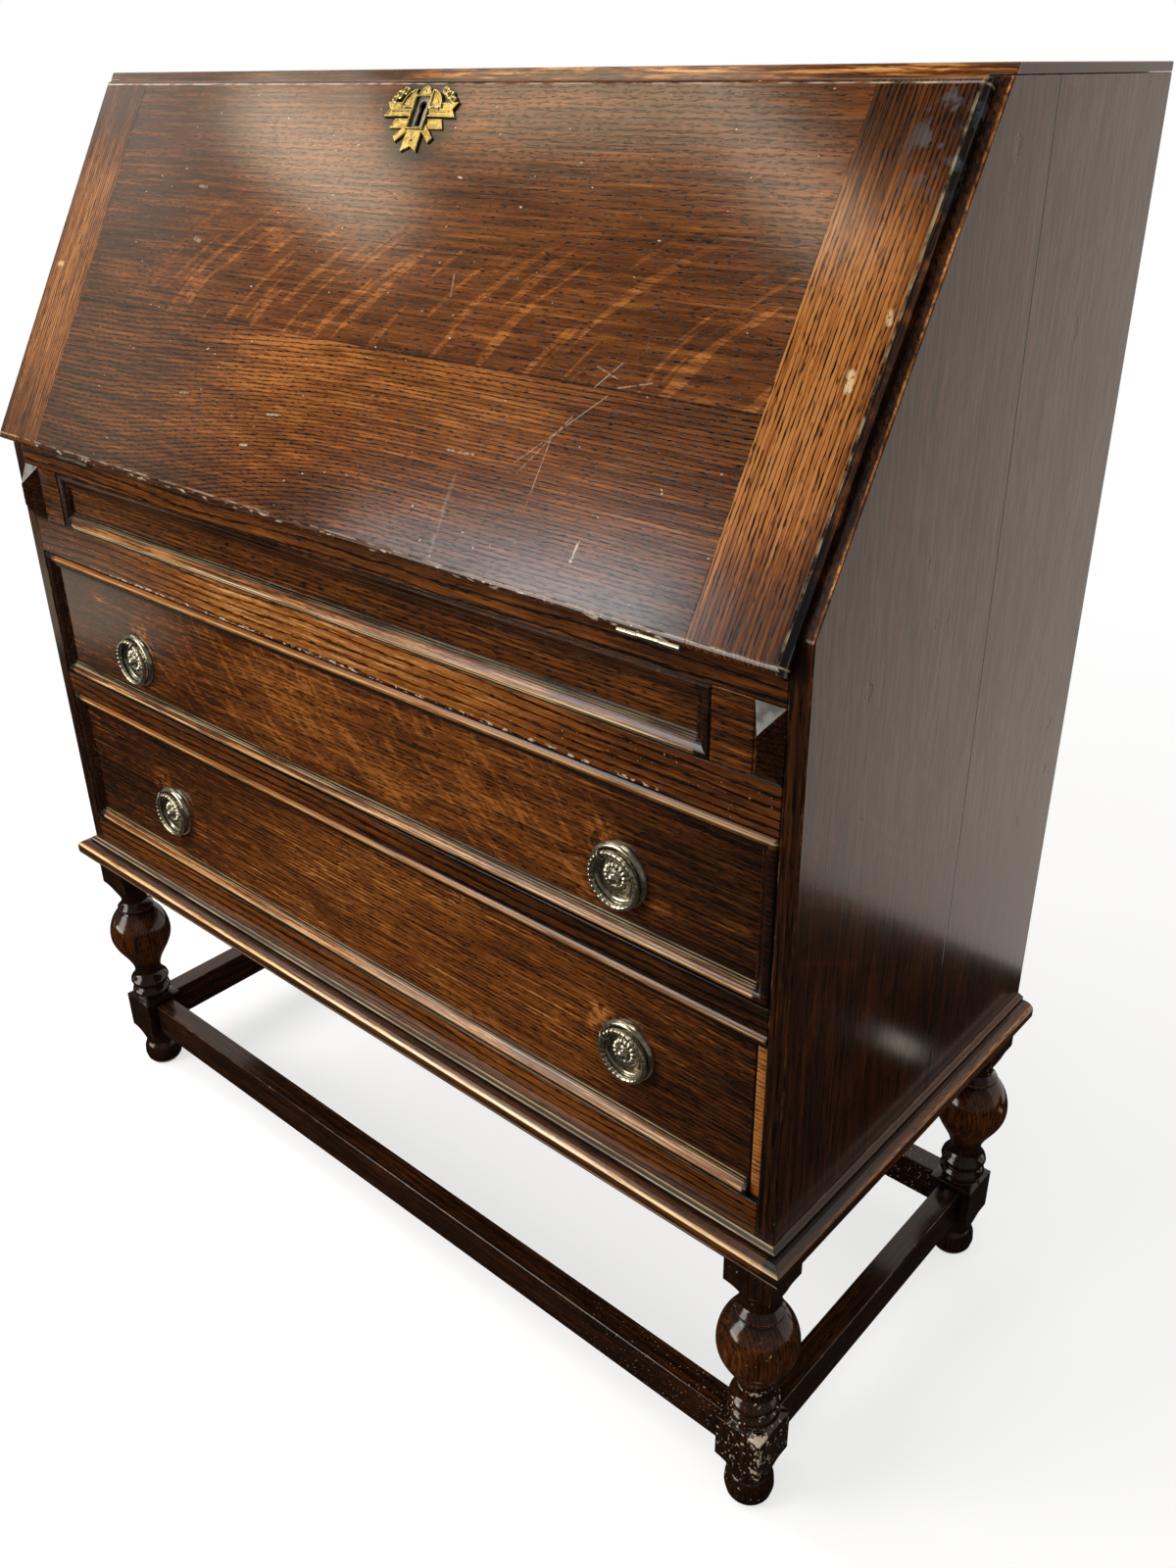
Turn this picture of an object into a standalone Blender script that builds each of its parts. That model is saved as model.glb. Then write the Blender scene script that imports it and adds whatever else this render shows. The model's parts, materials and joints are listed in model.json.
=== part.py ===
"""Drop-front oak bureau on turned legs.

Metres, +Z up, the front faces -Y, and the floor is z = 0 under the middle of the piece.
The case stands on a bottom board and four legs. The fall, the lopers, the drawers, their ring
pulls and the lock bolt are separate moving pieces, each under an empty on its own axis.
"""

import math

import bmesh
import bpy

# Fits between pieces
GAP = 0.0003
RUN = 0.0005

# Case
CASE_WIDTH = 0.915
CASE_DEPTH = 0.3965
SIDE_THICKNESS = 0.0155
TOP_THICKNESS = 0.016
TOP_LAP = 0.006
BACK_THICKNESS = 0.008
BOTTOM_THICKNESS = 0.0227
RAIL_DEPTH = 0.020
EDGE_EASE = 0.0006

# Heights from the floor upwards
LEG_HEIGHT = 0.290
BASE_RAIL_HEIGHT = 0.0313
LOWER_OPENING = 0.152
DIVIDER_THICKNESS = 0.0215
UPPER_OPENING = 0.131
FRIEZE_RAIL_HEIGHT = 0.0357
FRIEZE_HEIGHT = 0.0527
DESK_HEIGHT = 0.3147

# Fall and its hinges
SLOPE = math.radians(59.5)
FALL_THICKNESS = 0.019
FALL_BODY = 0.0105
FALL_TOP_LAP = 0.0074
FALL_SIDE_LAP = 0.0064
CLEAT_WIDTH = 0.070
THUMB_DEPTH = 0.0042
THUMB_WIDTH = 0.0046
THUMB_FILLET = 0.0008
HINGE_STANDOFF = 0.003
HINGE_LENGTH = 0.050
HINGE_LEAF = 0.018
HINGE_LEAF_THICKNESS = 0.0016
HINGE_KNUCKLE_RADIUS = 0.0025
HINGE_PIN_RADIUS = 0.0012
HINGE_PIN_CLEARANCE = 0.0001
HINGE_MIDDLE = 0.018
HINGE_FROM_CLEAT = 0.0134

# Lock in the top of the fall
LOCK_WIDTH = 0.060
LOCK_HEIGHT = 0.034
LOCK_DEPTH = 0.0085
BOLT_WIDTH = 0.022
BOLT_THICKNESS = 0.004
BOLT_FROM_FACE = 0.0026
BOLT_LENGTH = 0.026
BOLT_TRAVEL = 0.008
MORTISE_CLEARANCE = 0.0010
ESCUTCHEON_THICKNESS = 0.0016
ESCUTCHEON_BELOW_TOP = 0.007
KEYHOLE_DROP = 0.015
KEYHOLE_RADIUS = 0.0030
KEYHOLE_SLOT = 0.0034
KEYHOLE_LENGTH = 0.0185

# Right half of the strapwork plate, (out from its middle, drop below its crest)
CREST = [(0.0, 0.0), (0.0075, 0.0060)]
SCROLLS = [
    (0.0150, 0.0085, 0.0070, 150, 70),
    (0.0215, 0.0042, 0.0042, 130, 25),
    (0.0282, 0.0072, 0.0038, 105, 5),
    (0.0335, 0.0100, 0.0026, 105, -85),
]
STRAPS = [
    (0.0385, 0.0125),
    (0.0345, 0.0185),
    (0.0390, 0.0250),
    (0.0260, 0.0250),
    (0.0290, 0.0335),
    (0.0175, 0.0335),
    (0.0225, 0.0390),
    (0.0180, 0.0440),
    (0.0095, 0.0370),
    (0.0085, 0.0510),
    (0.0, 0.0470),
]

# Frieze and lopers
LOPER_WIDTH = 0.0224
LOPER_BACK_SPACE = 0.062
LOPER_NOSE = 0.0135
LOPER_RIDGE = 0.020
STILE_WIDTH = 0.0313
FRIEZE_RECESS = 0.0056
FRIEZE_BOARD = 0.019
RUNNER_THICKNESS = 0.016
RUNNER_FENCE = 0.014

# Planted moulding on the drawers and round the frieze panel
MOULD_WIDTH = 0.014
MOULD_DEPTH = 0.0052
MOULD_PROUD = 0.0006
MOULD_ROUND = 0.0046
MOULD_FILLET = 0.0018
MOULD_FILLET_STEP = 0.0011
MOULD_SWELL = 0.0010
MOULD_ARRIS = 0.0024

# Drawers
DRAWER_FRONT = 0.018
DRAWER_SIDE = 0.011
DRAWER_BACK = 0.009
DRAWER_BOTTOM = 0.005
DRAWER_BOTTOM_RAISE = 0.008
DRAWER_BACK_SPACE = 0.018
DRAWER_SIDE_DROP = 0.012
LOST_STRIP_LENGTH = 0.0105

# Ring pulls: distance from the drawer's end, drop below its middle, turn of the plate in degrees
PULLS = {
    "upper_left": (0.137, 0.0175, 24),
    "upper_right": (0.134, 0.0165, -32),
    "lower_left": (0.158, 0.0150, -30),
    "lower_right": (0.126, 0.0055, -58),
}
PLATE_RADIUS = 0.0264
PLATE_RIM = 0.0032
PLATE_RIM_WIDTH = 0.0018
PLATE_RIM_EASE = 0.0007
PLATE_COVE = 0.0014
PETAL_RADIUS = 0.0150
PETAL_SLOPE = 0.0025
PETAL_HEIGHT = 0.0036
BOSS_RADIUS = 0.0075
BOSS_HEIGHT = 0.0095
RING_RADIUS = 0.0212
RING_TUBE = 0.0024
RING_HEIGHT = 0.0068
EYE_CLEARANCE = 0.0004
EYE_WALL = 0.0015
EYE_WIDTH = 0.005
PIVOT_RADIUS = 0.0197

# Base moulding
BASE_PROJECTION = 0.016
BASE_SPLAY = 0.0050
BASE_SPLAY_DROP = 0.0022
BASE_FILLET_DROP = 0.0042
BASE_STEP = 0.0012
BASE_QUIRK_DEPTH = 0.0014
BASE_QUIRK_HEIGHT = 0.0010
BASE_NOSE_DROP = 0.0118
BASE_FASCIA_FOOT = 0.0180
BASE_UNDERSIDE = 0.0110

# Legs and stretchers
LEG_BLOCK = 0.043
LEG_PROUD = 0.002
UPPER_BLOCK_HEIGHT = 0.0375
LOWER_BLOCK_HEIGHT = 0.0445
FOOT_HEIGHT = 0.050
BULB_RADIUS = 0.0335
BULB_DROP = 0.0690
NECK_RADIUS = 0.0145
NECK_RISE = 0.0370
STRETCHER_THICKNESS = 0.022
STRETCHER_HEIGHT = 0.038
STRETCHER_SHOULDER = 0.0045

# Turning below the upper block, above the lower block and of the foot, in (distance, radius, squareness).
# The distance is from the upper block down, from the lower block up, and from the floor up.
UPPER_TURNING = [
    (0.0055, 0.0202, 0.55),
    (0.0125, 0.0172, 0),
    (0.0180, 0.0147, 0),
    (0.0225, 0.0139, 0),
    (0.0265, 0.0151, 0),
    (0.0300, 0.0180, 0),
    (0.0320, 0.0199, 0),
    (0.0340, 0.0199, 0),
    (0.0348, 0.0182, 0),
]
LOWER_TURNING = [
    (0.0300, 0.0176, 0),
    (0.0270, 0.0207, 0),
    (0.0240, 0.0215, 0),
    (0.0200, 0.0200, 0),
    (0.0165, 0.0176, 0),
    (0.0130, 0.0207, 0),
    (0.0100, 0.0215, 0),
    (0.0060, 0.0200, 0),
    (0.0023, 0.0188, 0),
]
FOOT_TURNING = [
    (0.0420, 0.0200, 0.5),
    (0.0330, 0.0176, 0),
    (0.0285, 0.0168, 0),
    (0.0262, 0.0184, 0),
    (0.0200, 0.0206, 0),
    (0.0120, 0.0212, 0),
    (0.0050, 0.0196, 0),
    (0.0, 0.0164, 0),
]

# Pigeonholes
SHELF_THICKNESS = 0.010
SHELF_HEIGHT = 0.140
SHELF_DEPTH = 0.165
DIVIDER_BOARD = 0.008
DIVIDER_SPACING = 0.294

# Roundness of turned work
LEG_SEGMENTS = 24
PULL_SEGMENTS = 28
HINGE_SEGMENTS = 16
TUBE_SEGMENTS = 8
KEYHOLE_STEPS = 12
ARC_STEPS = 6
BULB_STEPS = 5
SHARP_ANGLE = math.radians(35)


def quarter(start, end, along_first):
    """Points of a quarter ellipse between two corners, leaving the start along one of the two axes."""
    points = []
    for i in range(ARC_STEPS + 1):
        angle = math.pi / 2 * i / ARC_STEPS
        s, c = math.sin(angle), 1 - math.cos(angle)
        first, second = (s, c) if along_first else (c, s)
        points.append((start[0] + (end[0] - start[0]) * first, start[1] + (end[1] - start[1]) * second))
    return points


def bowed(start, end, swell):
    """Points after the start of a line to the end that swells out in its middle."""
    points = []
    for i in range(1, ARC_STEPS + 1):
        share = i / ARC_STEPS
        inset = start[0] + (end[0] - start[0]) * share
        height = start[1] + (end[1] - start[1]) * share
        points.append((inset, height + swell * math.sin(math.pi * share)))
    return points


def fall_edge():
    """(inset, height) of the thumbnail moulding on the edges of the fall, from its inner face outwards."""
    top = FALL_THICKNESS
    thumb = quarter((0.0, top - THUMB_DEPTH), (THUMB_WIDTH, top - THUMB_FILLET), False)
    return [(0.0, 0.0), *thumb, (THUMB_WIDTH + THUMB_FILLET / 2, top)]


# Levels and planes worked out from the sizes above
THUMB_REACH = max(out * math.sin(SLOPE) - inset * math.cos(SLOPE) for inset, out in fall_edge())
FALL_OVERHANG = HINGE_STANDOFF + THUMB_REACH
FRONT_OVERHANG = max(BASE_PROJECTION, LOPER_NOSE, FALL_OVERHANG, BULB_RADIUS - LEG_BLOCK / 2 + LEG_PROUD)
BACK_OVERHANG = max(0.0, BULB_RADIUS - LEG_BLOCK / 2)
BED_THICKNESS = FALL_THICKNESS + GAP / 3
Z_CASE = LEG_HEIGHT + BOTTOM_THICKNESS
Z_LOWER = Z_CASE + BASE_RAIL_HEIGHT
Z_DIVIDER = Z_LOWER + LOWER_OPENING
Z_UPPER = Z_DIVIDER + DIVIDER_THICKNESS
Z_FRIEZE_RAIL = Z_UPPER + UPPER_OPENING
Z_FRIEZE = Z_FRIEZE_RAIL + FRIEZE_RAIL_HEIGHT
Z_BED = Z_FRIEZE + FRIEZE_HEIGHT
Z_DESK = Z_BED + BED_THICKNESS
Z_TOP = Z_DESK + DESK_HEIGHT
X_OUT = CASE_WIDTH / 2
X_IN = X_OUT - SIDE_THICKNESS
Y_FRONT = (FRONT_OVERHANG - BACK_OVERHANG - CASE_DEPTH) / 2
Y_BACK = Y_FRONT + CASE_DEPTH
Y_INSIDE = Y_BACK - BACK_THICKNESS - GAP
Y_HINGE = Y_FRONT - HINGE_STANDOFF
Z_CORNER = Z_DESK + (FALL_BODY + HINGE_STANDOFF * math.sin(SLOPE)) / math.cos(SLOPE)
X_FRIEZE = X_IN - LOPER_WIDTH - 2 * RUN
Z_LEG_BLOCK = FOOT_HEIGHT + LOWER_BLOCK_HEIGHT


def slope_y(z):
    """Where the sloped front edges of the sides and the top lie at a height."""
    return Y_FRONT + (z - Z_CORNER) / math.tan(SLOPE)


# Materials
def material(name, colour, roughness, metallic=0.0):
    made = bpy.data.materials.new(name)
    made.use_nodes = True
    shader = made.node_tree.nodes["Principled BSDF"]
    shader.inputs["Base Color"].default_value = (*colour, 1.0)
    shader.inputs["Roughness"].default_value = roughness
    shader.inputs["Metallic"].default_value = metallic
    return made


def make_materials():
    return {
        "case": material("case_oak", (0.060, 0.026, 0.012), 0.38),
        "fall": material("fall_oak", (0.110, 0.040, 0.014), 0.30),
        "drawer": material("drawer_oak", (0.100, 0.036, 0.012), 0.36),
        "mould": material("moulding_oak", (0.130, 0.052, 0.018), 0.34),
        "leg": material("leg_oak", (0.050, 0.020, 0.010), 0.34),
        "inside": material("inside_wood", (0.260, 0.150, 0.070), 0.60),
        "brass": material("brass", (0.620, 0.440, 0.180), 0.30, 1.0),
        "pull": material("aged_brass", (0.300, 0.250, 0.160), 0.38, 1.0),
        "steel": material("steel", (0.420, 0.420, 0.420), 0.40, 1.0),
    }


# Objects
def add(name, shape, look, parent=None, at=(0, 0, 0), turn=(0, 0, 0), smooth=False):
    """An object from a bmesh, which is freed here."""
    bmesh.ops.recalc_face_normals(shape, faces=shape.faces)
    mesh = bpy.data.meshes.new(name)
    shape.to_mesh(mesh)
    shape.free()
    if look is not None:
        mesh.materials.append(look)
    if smooth:
        mesh.shade_smooth()
        mesh.set_sharp_from_angle(angle=SHARP_ANGLE)
    made = bpy.data.objects.new(name, mesh)
    made.location = at
    made.rotation_euler = turn
    made.parent = parent
    bpy.context.scene.collection.objects.link(made)
    return made


def empty(name, at, turn=(0, 0, 0), parent=None):
    made = bpy.data.objects.new(name, None)
    made.empty_display_size = 0.03
    made.location = at
    made.rotation_euler = turn
    made.parent = parent
    bpy.context.scene.collection.objects.link(made)
    return made


def helper(name, shape, parent=None, at=(0, 0, 0), turn=(0, 0, 0)):
    """A cutter or a piece to be joined, left out of the finished part."""
    made = add(name, shape, None, parent, at, turn)
    made.hide_render = True
    made.display_type = "WIRE"
    return made


def combine(target, other, operation):
    modifier = target.modifiers.new(f"{operation.lower()}_{other.name}", "BOOLEAN")
    modifier.operation = operation
    modifier.solver = "EXACT"
    modifier.object = other


# Shapes
def loft(rings, closed=False):
    """A solid through rings of equal length, with its ends capped, or joined up if it is closed."""
    shape = bmesh.new()
    rows = [[shape.verts.new(point) for point in ring] for ring in rings]
    pairs = list(zip(rows, rows[1:]))
    if closed:
        pairs.append((rows[-1], rows[0]))
    else:
        shape.faces.new(rows[0])
        shape.faces.new(rows[-1])
    for low, high in pairs:
        for i in range(len(low)):
            j = (i + 1) % len(low)
            shape.faces.new((low[i], low[j], high[j], high[i]))
    return shape


def box(x, y, z, ease=0.0):
    """A board from pairs of limits, with its edges eased."""
    corners = [(x[0], y[0]), (x[1], y[0]), (x[1], y[1]), (x[0], y[1])]
    shape = loft([[(*corner, level) for corner in corners] for level in z])
    if ease:
        bmesh.ops.bevel(shape, geom=shape.edges[:], offset=ease, segments=1, affect="EDGES")
    return shape


def prism_x(outline, x, ease=0.0):
    """An outline of (y, z) points drawn out along X."""
    shape = loft([[(level, *point) for point in outline] for level in x])
    if ease:
        bmesh.ops.bevel(shape, geom=shape.edges[:], offset=ease, segments=1, affect="EDGES")
    return shape


def prism_y(outline, y):
    """An outline of (x, z) points drawn out along Y."""
    return loft([[(point[0], level, point[1]) for point in outline] for level in y])


def prism_z(outline, z):
    """An outline of (x, y) points drawn out along Z."""
    return loft([[(*point, level) for point in outline] for level in z])


def circle(radius, steps):
    angles = [2 * math.pi * i / steps for i in range(steps)]
    return [(radius * math.cos(angle), radius * math.sin(angle)) for angle in angles]


def turned(profile, steps, closed=False):
    """A solid of revolution about Z through (radius, height) points."""
    rings = []
    for radius, height in profile:
        rings.append([(*point, height) for point in circle(radius, steps)])
    return loft(rings, closed)


def along_x(shape):
    """Lays a shape made about Z down along X."""
    for vert in shape.verts:
        vert.co = (vert.co.z, vert.co.x, vert.co.y)
    return shape


# Case
def make_case(looks):
    side = [
        (Y_FRONT, Z_CASE + GAP),
        (Y_BACK, Z_CASE + GAP),
        (Y_BACK, Z_TOP - TOP_LAP - GAP),
        (slope_y(Z_TOP - TOP_LAP - GAP), Z_TOP - TOP_LAP - GAP),
        (Y_FRONT, Z_CORNER),
    ]
    add("side_left", prism_x(side, (-X_OUT, -X_IN), EDGE_EASE), looks["case"])
    add("side_right", prism_x(side, (X_IN, X_OUT), EDGE_EASE), looks["case"])

    inner = (-X_IN + GAP, X_IN - GAP)
    rail_y = (Y_FRONT, Y_FRONT + RAIL_DEPTH)
    deep_y = (Y_FRONT + RAIL_DEPTH + GAP, Y_INSIDE - GAP)
    add("bottom_board", box((-X_OUT, X_OUT), (Y_FRONT, Y_BACK), (LEG_HEIGHT, Z_CASE)), looks["case"])
    add("base_rail", box(inner, rail_y, (Z_CASE + GAP, Z_LOWER), EDGE_EASE), looks["case"])
    dust_z = (Z_LOWER - RUNNER_THICKNESS, Z_LOWER)
    add("lower_dust_board", box(inner, deep_y, dust_z), looks["inside"])
    divider_y = (Y_FRONT, Y_INSIDE - GAP)
    add("drawer_divider", box(inner, divider_y, (Z_DIVIDER, Z_UPPER), EDGE_EASE), looks["case"])
    add("frieze_rail", box(inner, rail_y, (Z_FRIEZE_RAIL, Z_FRIEZE), EDGE_EASE), looks["case"])
    back_z = (Z_CASE + GAP, Z_TOP - TOP_THICKNESS - GAP)
    add("back_panel", box(inner, (Y_INSIDE, Y_BACK - GAP), back_z), looks["case"])
    bed = add("writing_bed", box(inner, divider_y, (Z_BED, Z_DESK), EDGE_EASE), looks["case"])

    top_outline = [
        (slope_y(Z_TOP - TOP_THICKNESS), Z_TOP - TOP_THICKNESS),
        (Y_BACK, Z_TOP - TOP_THICKNESS),
        (Y_BACK, Z_TOP),
        (slope_y(Z_TOP), Z_TOP),
    ]
    top = add("top_board", prism_x(top_outline, (-X_OUT, X_OUT), EDGE_EASE), looks["case"])
    for side_name, x in (("left", (-X_OUT - X_IN, -X_IN + GAP)), ("right", (X_IN - GAP, X_OUT + X_IN))):
        lap = box(x, (Y_FRONT, Y_BACK + X_IN), (Z_TOP - 2 * TOP_THICKNESS, Z_TOP - TOP_LAP))
        combine(top, helper(f"top_lap_{side_name}", lap), "DIFFERENCE")
    return bed, top


def make_pigeonholes(looks):
    shelf_z = Z_DESK + SHELF_HEIGHT
    y = (Y_INSIDE - GAP - SHELF_DEPTH, Y_INSIDE - GAP)
    x = (-X_IN + GAP, X_IN - GAP)
    add("pigeonhole_shelf", box(x, y, (shelf_z, shelf_z + SHELF_THICKNESS), EDGE_EASE), looks["inside"])
    for side_name, sign in (("left", -1), ("right", 1)):
        middle = sign * DIVIDER_SPACING / 2
        x = (middle - DIVIDER_BOARD / 2, middle + DIVIDER_BOARD / 2)
        board = box(x, y, (Z_DESK + GAP, shelf_z - GAP), EDGE_EASE)
        add(f"pigeonhole_divider_{side_name}", board, looks["inside"])


def mould_profile(outer_round):
    """(inset, height above the panel) of the planted moulding, from its outer edge inwards."""
    ridge = MOULD_DEPTH + MOULD_PROUD
    inner = MOULD_WIDTH - 2 * MOULD_FILLET
    if outer_round:
        outer = quarter((0.0, ridge - MOULD_ROUND), (MOULD_ROUND, ridge), False)
    else:
        flat = ridge - MOULD_FILLET_STEP
        outer = [(0.0, flat), (MOULD_FILLET, flat), (MOULD_ARRIS, ridge)]
    return [
        *outer,
        *bowed(outer[-1], (inner, 2 * MOULD_FILLET_STEP), MOULD_SWELL),
        (inner + MOULD_FILLET, 2 * MOULD_FILLET_STEP),
        (inner + MOULD_FILLET, MOULD_FILLET_STEP),
        (MOULD_WIDTH, MOULD_FILLET_STEP),
        (MOULD_WIDTH, GAP),
        (0.0, GAP),
    ]


def mould_frame(profile, x, z, panel_y):
    """The moulding mitred round a panel, standing out from it towards -Y."""
    rings = []
    for inset, height in profile:
        left, right, low, high = x[0] + inset, x[1] - inset, z[0] + inset, z[1] - inset
        y = panel_y - height
        rings.append([(left, y, low), (right, y, low), (right, y, high), (left, y, high)])
    return loft(rings, closed=True)


def mould_open(profile, x, z, panel_y):
    """The same moulding with its right-hand strip lost: it runs along the top, left side and bottom."""
    corners = []
    for inset, height in profile:
        y = panel_y - height
        left, low, high = x[0] + inset, z[0] + inset, z[1] - inset
        bottom_end = x[1] - LOST_STRIP_LENGTH
        corners.append([(x[1], y, high), (left, y, high), (left, y, low), (bottom_end, y, low)])
    return loft([list(ring) for ring in zip(*corners)])


def make_frieze(looks):
    x = (-X_FRIEZE, X_FRIEZE)
    z = (Z_FRIEZE + GAP, Z_BED - GAP)
    hole = X_FRIEZE - STILE_WIDTH
    back = Y_FRONT + FRIEZE_BOARD
    sunk = Y_FRONT + FRIEZE_RECESS
    plan = [(x[0], Y_FRONT), (-hole, Y_FRONT), (-hole, sunk), (hole, sunk), (hole, Y_FRONT), (x[1], Y_FRONT)]
    add("frieze_front", prism_z([*plan, (x[1], back), (x[0], back)], z), looks["case"])
    frame_x = (-hole + GAP, hole - GAP)
    add("frieze_moulding", mould_frame(mould_profile(False), frame_x, z, sunk), looks["mould"])


def make_lopers(looks):
    low, high = Z_FRIEZE + RUN, Z_BED - RUN
    middle_z = (low + high) / 2
    for side_name, sign in (("left", -1), ("right", 1)):
        centre = sign * (X_IN - RUN - LOPER_WIDTH / 2)
        slide = empty(f"loper_{side_name}_slide", (centre, Y_FRONT, middle_z))
        half_w, half_h, half_r = LOPER_WIDTH / 2, (high - low) / 2, LOPER_RIDGE / 2
        shape = box((-half_w, half_w), (0.0, Y_INSIDE - LOPER_BACK_SPACE - Y_FRONT), (-half_h, half_h))
        front = min(shape.faces, key=lambda face: face.calc_center_median().y)
        low_edge = min(front.edges, key=lambda edge: sum(vert.co.z for vert in edge.verts))
        high_edge = max(front.edges, key=lambda edge: sum(vert.co.z for vert in edge.verts))
        base = [low_edge.verts, high_edge.verts]
        base = [sorted(verts, key=lambda vert: vert.co.x) for verts in base]
        (low_left, low_right), (high_left, high_right) = base
        shape.faces.remove(front)
        ridge_low = shape.verts.new((0, -LOPER_NOSE, -half_r))
        ridge_high = shape.verts.new((0, -LOPER_NOSE, half_r))
        shape.faces.new((low_left, low_right, ridge_low))
        shape.faces.new((high_left, high_right, ridge_high))
        shape.faces.new((low_left, ridge_low, ridge_high, high_left))
        shape.faces.new((low_right, ridge_low, ridge_high, high_right))
        add(f"loper_{side_name}", shape, looks["case"], slide)

        outer, inner = sign * (X_IN - GAP), sign * (X_FRIEZE - RUNNER_FENCE)
        fence, floor = sign * X_FRIEZE, Z_FRIEZE
        outline = [
            (inner, floor - RUNNER_THICKNESS),
            (outer, floor - RUNNER_THICKNESS),
            (outer, floor),
            (fence, floor),
            (fence, Z_BED - GAP),
            (inner, Z_BED - GAP),
        ]
        runner = prism_y(outline, (Y_FRONT + RAIL_DEPTH + GAP, Y_INSIDE - GAP))
        add(f"loper_runner_{side_name}", runner, looks["inside"])


# Base moulding, legs and stretchers
def base_profile():
    """(projection, drop below the case) of the base moulding, from the top inner edge outwards."""
    shoulder = BASE_SPLAY + BASE_STEP
    quirk = BASE_SPLAY - BASE_QUIRK_DEPTH
    quirk_foot = BASE_FILLET_DROP + BASE_QUIRK_HEIGHT
    nose = (BASE_PROJECTION, BASE_NOSE_DROP)
    return [
        (GAP, 0.0),
        (BASE_SPLAY, BASE_SPLAY_DROP),
        (BASE_SPLAY, BASE_FILLET_DROP),
        (quirk, BASE_FILLET_DROP),
        (quirk, quirk_foot),
        *quarter((shoulder, quirk_foot), nose, True),
        *quarter((BASE_PROJECTION, BASE_FASCIA_FOOT), (BASE_UNDERSIDE, BOTTOM_THICKNESS), False),
        (GAP, BOTTOM_THICKNESS),
    ]


def make_base_moulding(looks):
    profile = [(out, Z_CASE - drop) for out, drop in base_profile()]
    joint = GAP / 2
    front = [
        [(-X_OUT - out + joint, Y_FRONT - out, z) for out, z in profile],
        [(X_OUT + out - joint, Y_FRONT - out, z) for out, z in profile],
    ]
    add("base_moulding_front", loft(front), looks["mould"])
    for side_name, sign in (("left", -1), ("right", 1)):
        run = [
            [(sign * (X_OUT + out), Y_FRONT - out + joint, z) for out, z in profile],
            [(sign * (X_OUT + out), Y_BACK, z) for out, z in profile],
        ]
        add(f"base_moulding_{side_name}", loft(run), looks["mould"])


def leg_ring(height, size, squareness):
    """A level of a leg: round at squareness 0, square at 1, and with its corners off between them."""
    ring = []
    for i in range(LEG_SEGMENTS):
        angle = 2 * math.pi * i / LEG_SEGMENTS
        c, s = math.cos(angle), math.sin(angle)
        reach = 1 + squareness * (1 / max(abs(c), abs(s)) - 1)
        ring.append((size * reach * c, size * reach * s, height))
    return ring


def bulb_levels(upper_turning_end):
    """The pear-shaped bulb: an ellipse above its widest level and a wave down to the neck."""
    z_wide = LEG_HEIGHT - UPPER_BLOCK_HEIGHT - BULB_DROP
    z_neck = Z_LEG_BLOCK + NECK_RISE
    z_start, start_radius = upper_turning_end
    start_angle = math.acos(start_radius / BULB_RADIUS)
    rise = (z_start - z_wide) / math.sin(start_angle)
    levels = []
    for i in range(1, BULB_STEPS + 1):
        angle = start_angle * (1 - i / BULB_STEPS)
        levels.append((z_wide + rise * math.sin(angle), BULB_RADIUS * math.cos(angle), 0))
    for i in range(1, BULB_STEPS + 2):
        share = i / (BULB_STEPS + 1)
        radius = NECK_RADIUS + (BULB_RADIUS - NECK_RADIUS) * (0.5 + 0.5 * math.cos(math.pi * share))
        levels.append((z_wide - (z_wide - z_neck) * share, radius, 0))
    return levels


def leg_levels():
    """(height, half size, squareness) of a leg from the top down."""
    block = LEG_BLOCK / 2
    z_block = LEG_HEIGHT - UPPER_BLOCK_HEIGHT
    upper = [(z_block - drop, radius, square) for drop, radius, square in UPPER_TURNING]
    lower = [(Z_LEG_BLOCK + rise, radius, square) for rise, radius, square in LOWER_TURNING]
    return [
        (LEG_HEIGHT - GAP, block, 1),
        (z_block, block, 1),
        *upper,
        *bulb_levels(upper[-1][:2]),
        *lower,
        (Z_LEG_BLOCK, block, 1),
        (FOOT_HEIGHT, block, 1),
        *FOOT_TURNING,
    ]


def make_stand(looks):
    x = X_OUT - LEG_BLOCK / 2 + LEG_PROUD
    y_front = Y_FRONT + LEG_BLOCK / 2 - LEG_PROUD
    y_back = Y_BACK - LEG_BLOCK / 2
    for row, y in (("front", y_front), ("back", y_back)):
        for side_name, sign in (("left", -1), ("right", 1)):
            shape = loft([leg_ring(*level) for level in leg_levels()])
            add(f"leg_{row}_{side_name}", shape, looks["leg"], at=(sign * x, y, 0), smooth=True)
    half = STRETCHER_THICKNESS / 2
    top = Z_LEG_BLOCK - STRETCHER_SHOULDER
    z = (top - STRETCHER_HEIGHT, top)
    clear = LEG_BLOCK / 2 + GAP
    for row, y in (("front", y_front), ("back", y_back)):
        bar = box((-x + clear, x - clear), (y - half, y + half), z, EDGE_EASE)
        add(f"stretcher_{row}", bar, looks["leg"])
    for side_name, sign in (("left", -1), ("right", 1)):
        bar = box((sign * x - half, sign * x + half), (y_front + clear, y_back - clear), z, EDGE_EASE)
        add(f"stretcher_{side_name}", bar, looks["leg"])


# Fall
def fall_sizes():
    """Ends of the rebated body and of the lip, measured up the slope from the hinge."""
    underside = Z_TOP - TOP_THICKNESS
    to_underside = (underside - Z_CORNER) / math.sin(SLOPE)
    corner = (Z_CORNER - Z_DESK) * math.sin(SLOPE) + HINGE_STANDOFF * math.cos(SLOPE)
    body_end = corner + to_underside - RUN
    return body_end, body_end + FALL_TOP_LAP


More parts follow.
